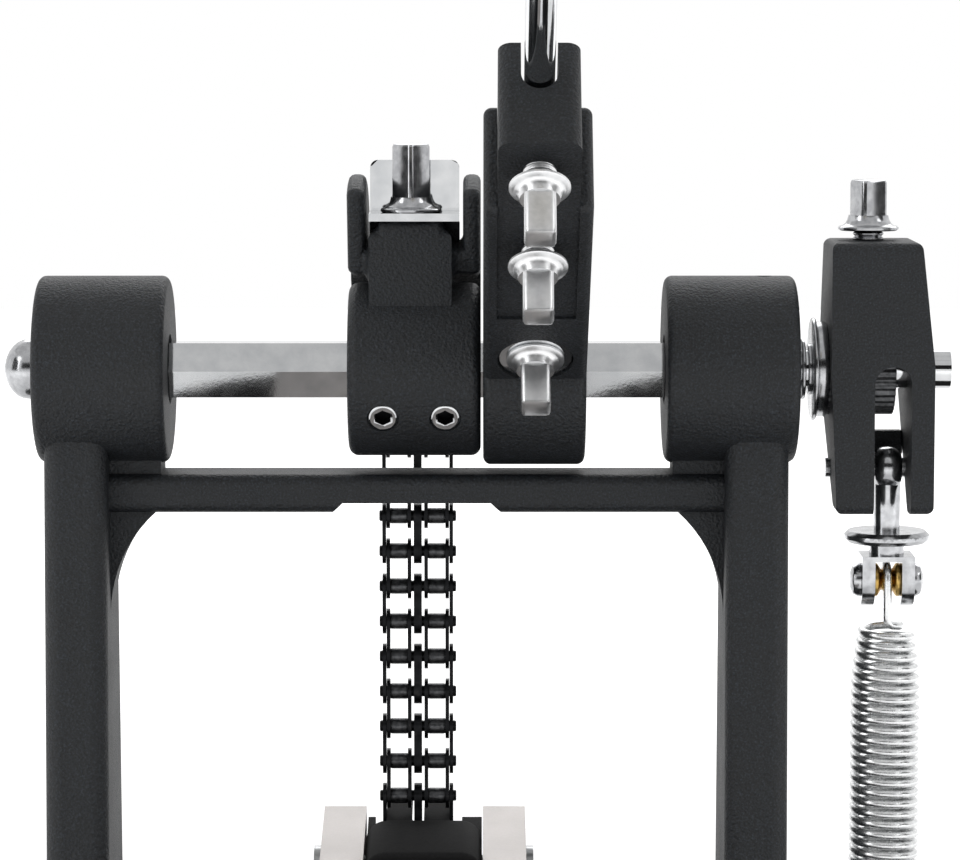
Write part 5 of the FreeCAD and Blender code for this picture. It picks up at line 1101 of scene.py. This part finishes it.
toe = slab((-TOE_HALF, TOE_HALF), (TOE_FRONT, TOE_WALL), (TOE_BOTTOM, TOE_TOP))
along = [edge for edge in toe.edges if all(vert.co.z > 0 for vert in edge.verts)
         and edge.verts[0].co.x == edge.verts[1].co.x]
bmesh.ops.bevel(toe, geom=along, offset=TOE_CORNER * MM, segments=6, profile=0.5, affect="EDGES", material=-1)
ends = [edge for edge in toe.edges if any(vert.co.z > TOE_SIDE_TOP * MM for vert in edge.verts)
        and edge.verts[0].co.y == edge.verts[1].co.y]
bmesh.ops.bevel(toe, geom=ends, offset=TOE_EDGE * MM, segments=3, profile=0.5, affect="EDGES", material=-1)
behind = (TOE_WALL - INTO_BLOCK, TOE_BACK)
pin_x = (CHAIN_X - BOARD_X) / MM
for x in ((-TOE_HALF, pin_x - POCKET_HALF), (pin_x + POCKET_HALF, TOE_HALF)):
    add_part(toe, slab(x, behind, (TOE_BOTTOM, TOE_SIDE_TOP)))
inner = (behind[0] + INTO, TOE_BACK - INTO)
add_part(toe, slab((INTO - TOE_HALF, TOE_HALF - INTO), inner, (TOE_BOTTOM + INTO, FLOOR_TOP)))
for way in (-1, 1):
    x = sorted((pin_x + way * LUG_INNER, pin_x + way * LUG_OUTER))
    for z in ((TOE_BOTTOM + 2 * INTO, SLOT_LOW), (SLOT_HIGH, LUG_TOP)):
        add_part(toe, slab(x, (inner[0] + INTO, inner[1] - INTO), z))
    web_x = (x[0] + INTO, x[1] - INTO)
    add_part(toe, slab(web_x, (SLOT_BACK, inner[1] - 2 * INTO), (SLOT_LOW - INTO, SLOT_HIGH + INTO)))
block = bmesh.new()
add_part(block, toe, ON_BOARD)
hand_over("toe_moulding", block, RUBBER, "footboard", ["toe_block"])

# %% [markdown]
# ## Webs of the castings
# Below the chrome plate, a web joins the wheel's neck to its two ears, and a bridge crosses the rocker's
# slot behind the forged eye. Both are plain bevelled slabs that turn with the axle and close the view.

# %% Webs that turn with the axle
WEB_EDGE = 0.5 * MM
# Each web: its (low, high) pairs across, back and up from the axle's middle, in millimetres
WEBS = {
    "wheel_web": ((-12.0, 11.0), (-3.4, 1.0), (29.0, 38.2)),
    "rocker_bridge": ((116.2, 125.8), (6.0, 10.0), (-22.8, -16.6)),
}
for name, sides in WEBS.items():
    web = bmesh.new()
    add_part(web, slab(*sides), Matrix.Translation((0, AXLE.y, AXLE.z)))
    bmesh.ops.bevel(web, geom=web.edges[:], offset=WEB_EDGE, segments=2, profile=0.5, affect="EDGES",
                    material=-1)
    piece = mesh_object(name, web, POWDER_COAT)
    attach(piece, "axle")
    print(name, len(piece.data.polygons), "faces")

# %% [markdown]
# ## The felt beater
# The beater's felt is a thick disc cut from a pressed sheet. Its rims have gone round with use and its
# striking face is a little flattened and fuzzy. A lathe section gives the disc, and a fine cloud of small
# moves along the normals gives the pressed, hairy outline.

# %% Felt beater head
FELT_RADIUS, FELT_HALF, FELT_BORE = 27.0, 20.0, 12.1
FELT_FUZZ = 0.18 * MM
# The fuzz is a sum of three waves, each with its radians per metre and its start along X, Y and Z
FUZZ_WAVES = [(900, 0), (1130, 1), (1010, 2)]
HEAD_CENTRE_MM = 205
ROD_OFFSET_MM = 5.5
RIM_SHARES = [(1.0, 0.0), (0.97, 0.55), (0.86, 0.86), (0.6, 0.985), (0.3, 1.0)]
RIM = 7.0
rim = [(FELT_RADIUS - RIM + RIM * across, FELT_HALF - RIM + RIM * up) for across, up in RIM_SHARES]
half = [(FELT_BORE, FELT_HALF)] + rim[::-1]
felt = lathe(half + [(r, -h) for r, h in reversed(half)], steps=72, closed=True)
bmesh.ops.subdivide_edges(felt, edges=felt.edges, cuts=1, use_grid_fill=True)
felt.normal_update()
for vert in felt.verts:
    wave = sum(math.sin(along * pace + start) for along, (pace, start) in zip(vert.co, FUZZ_WAVES))
    vert.co += vert.normal * FELT_FUZZ * wave / len(FUZZ_WAVES)
spot = Matrix.Translation((HUB_X, ROD_OFFSET_MM * MM, HEAD_CENTRE_MM * MM))
bmesh.ops.transform(felt, matrix=LEANING @ spot @ OUTWARDS, verts=felt.verts)
felt_head = hand_over("felt_head", felt, FELT, "axle", ["beater_felt"])
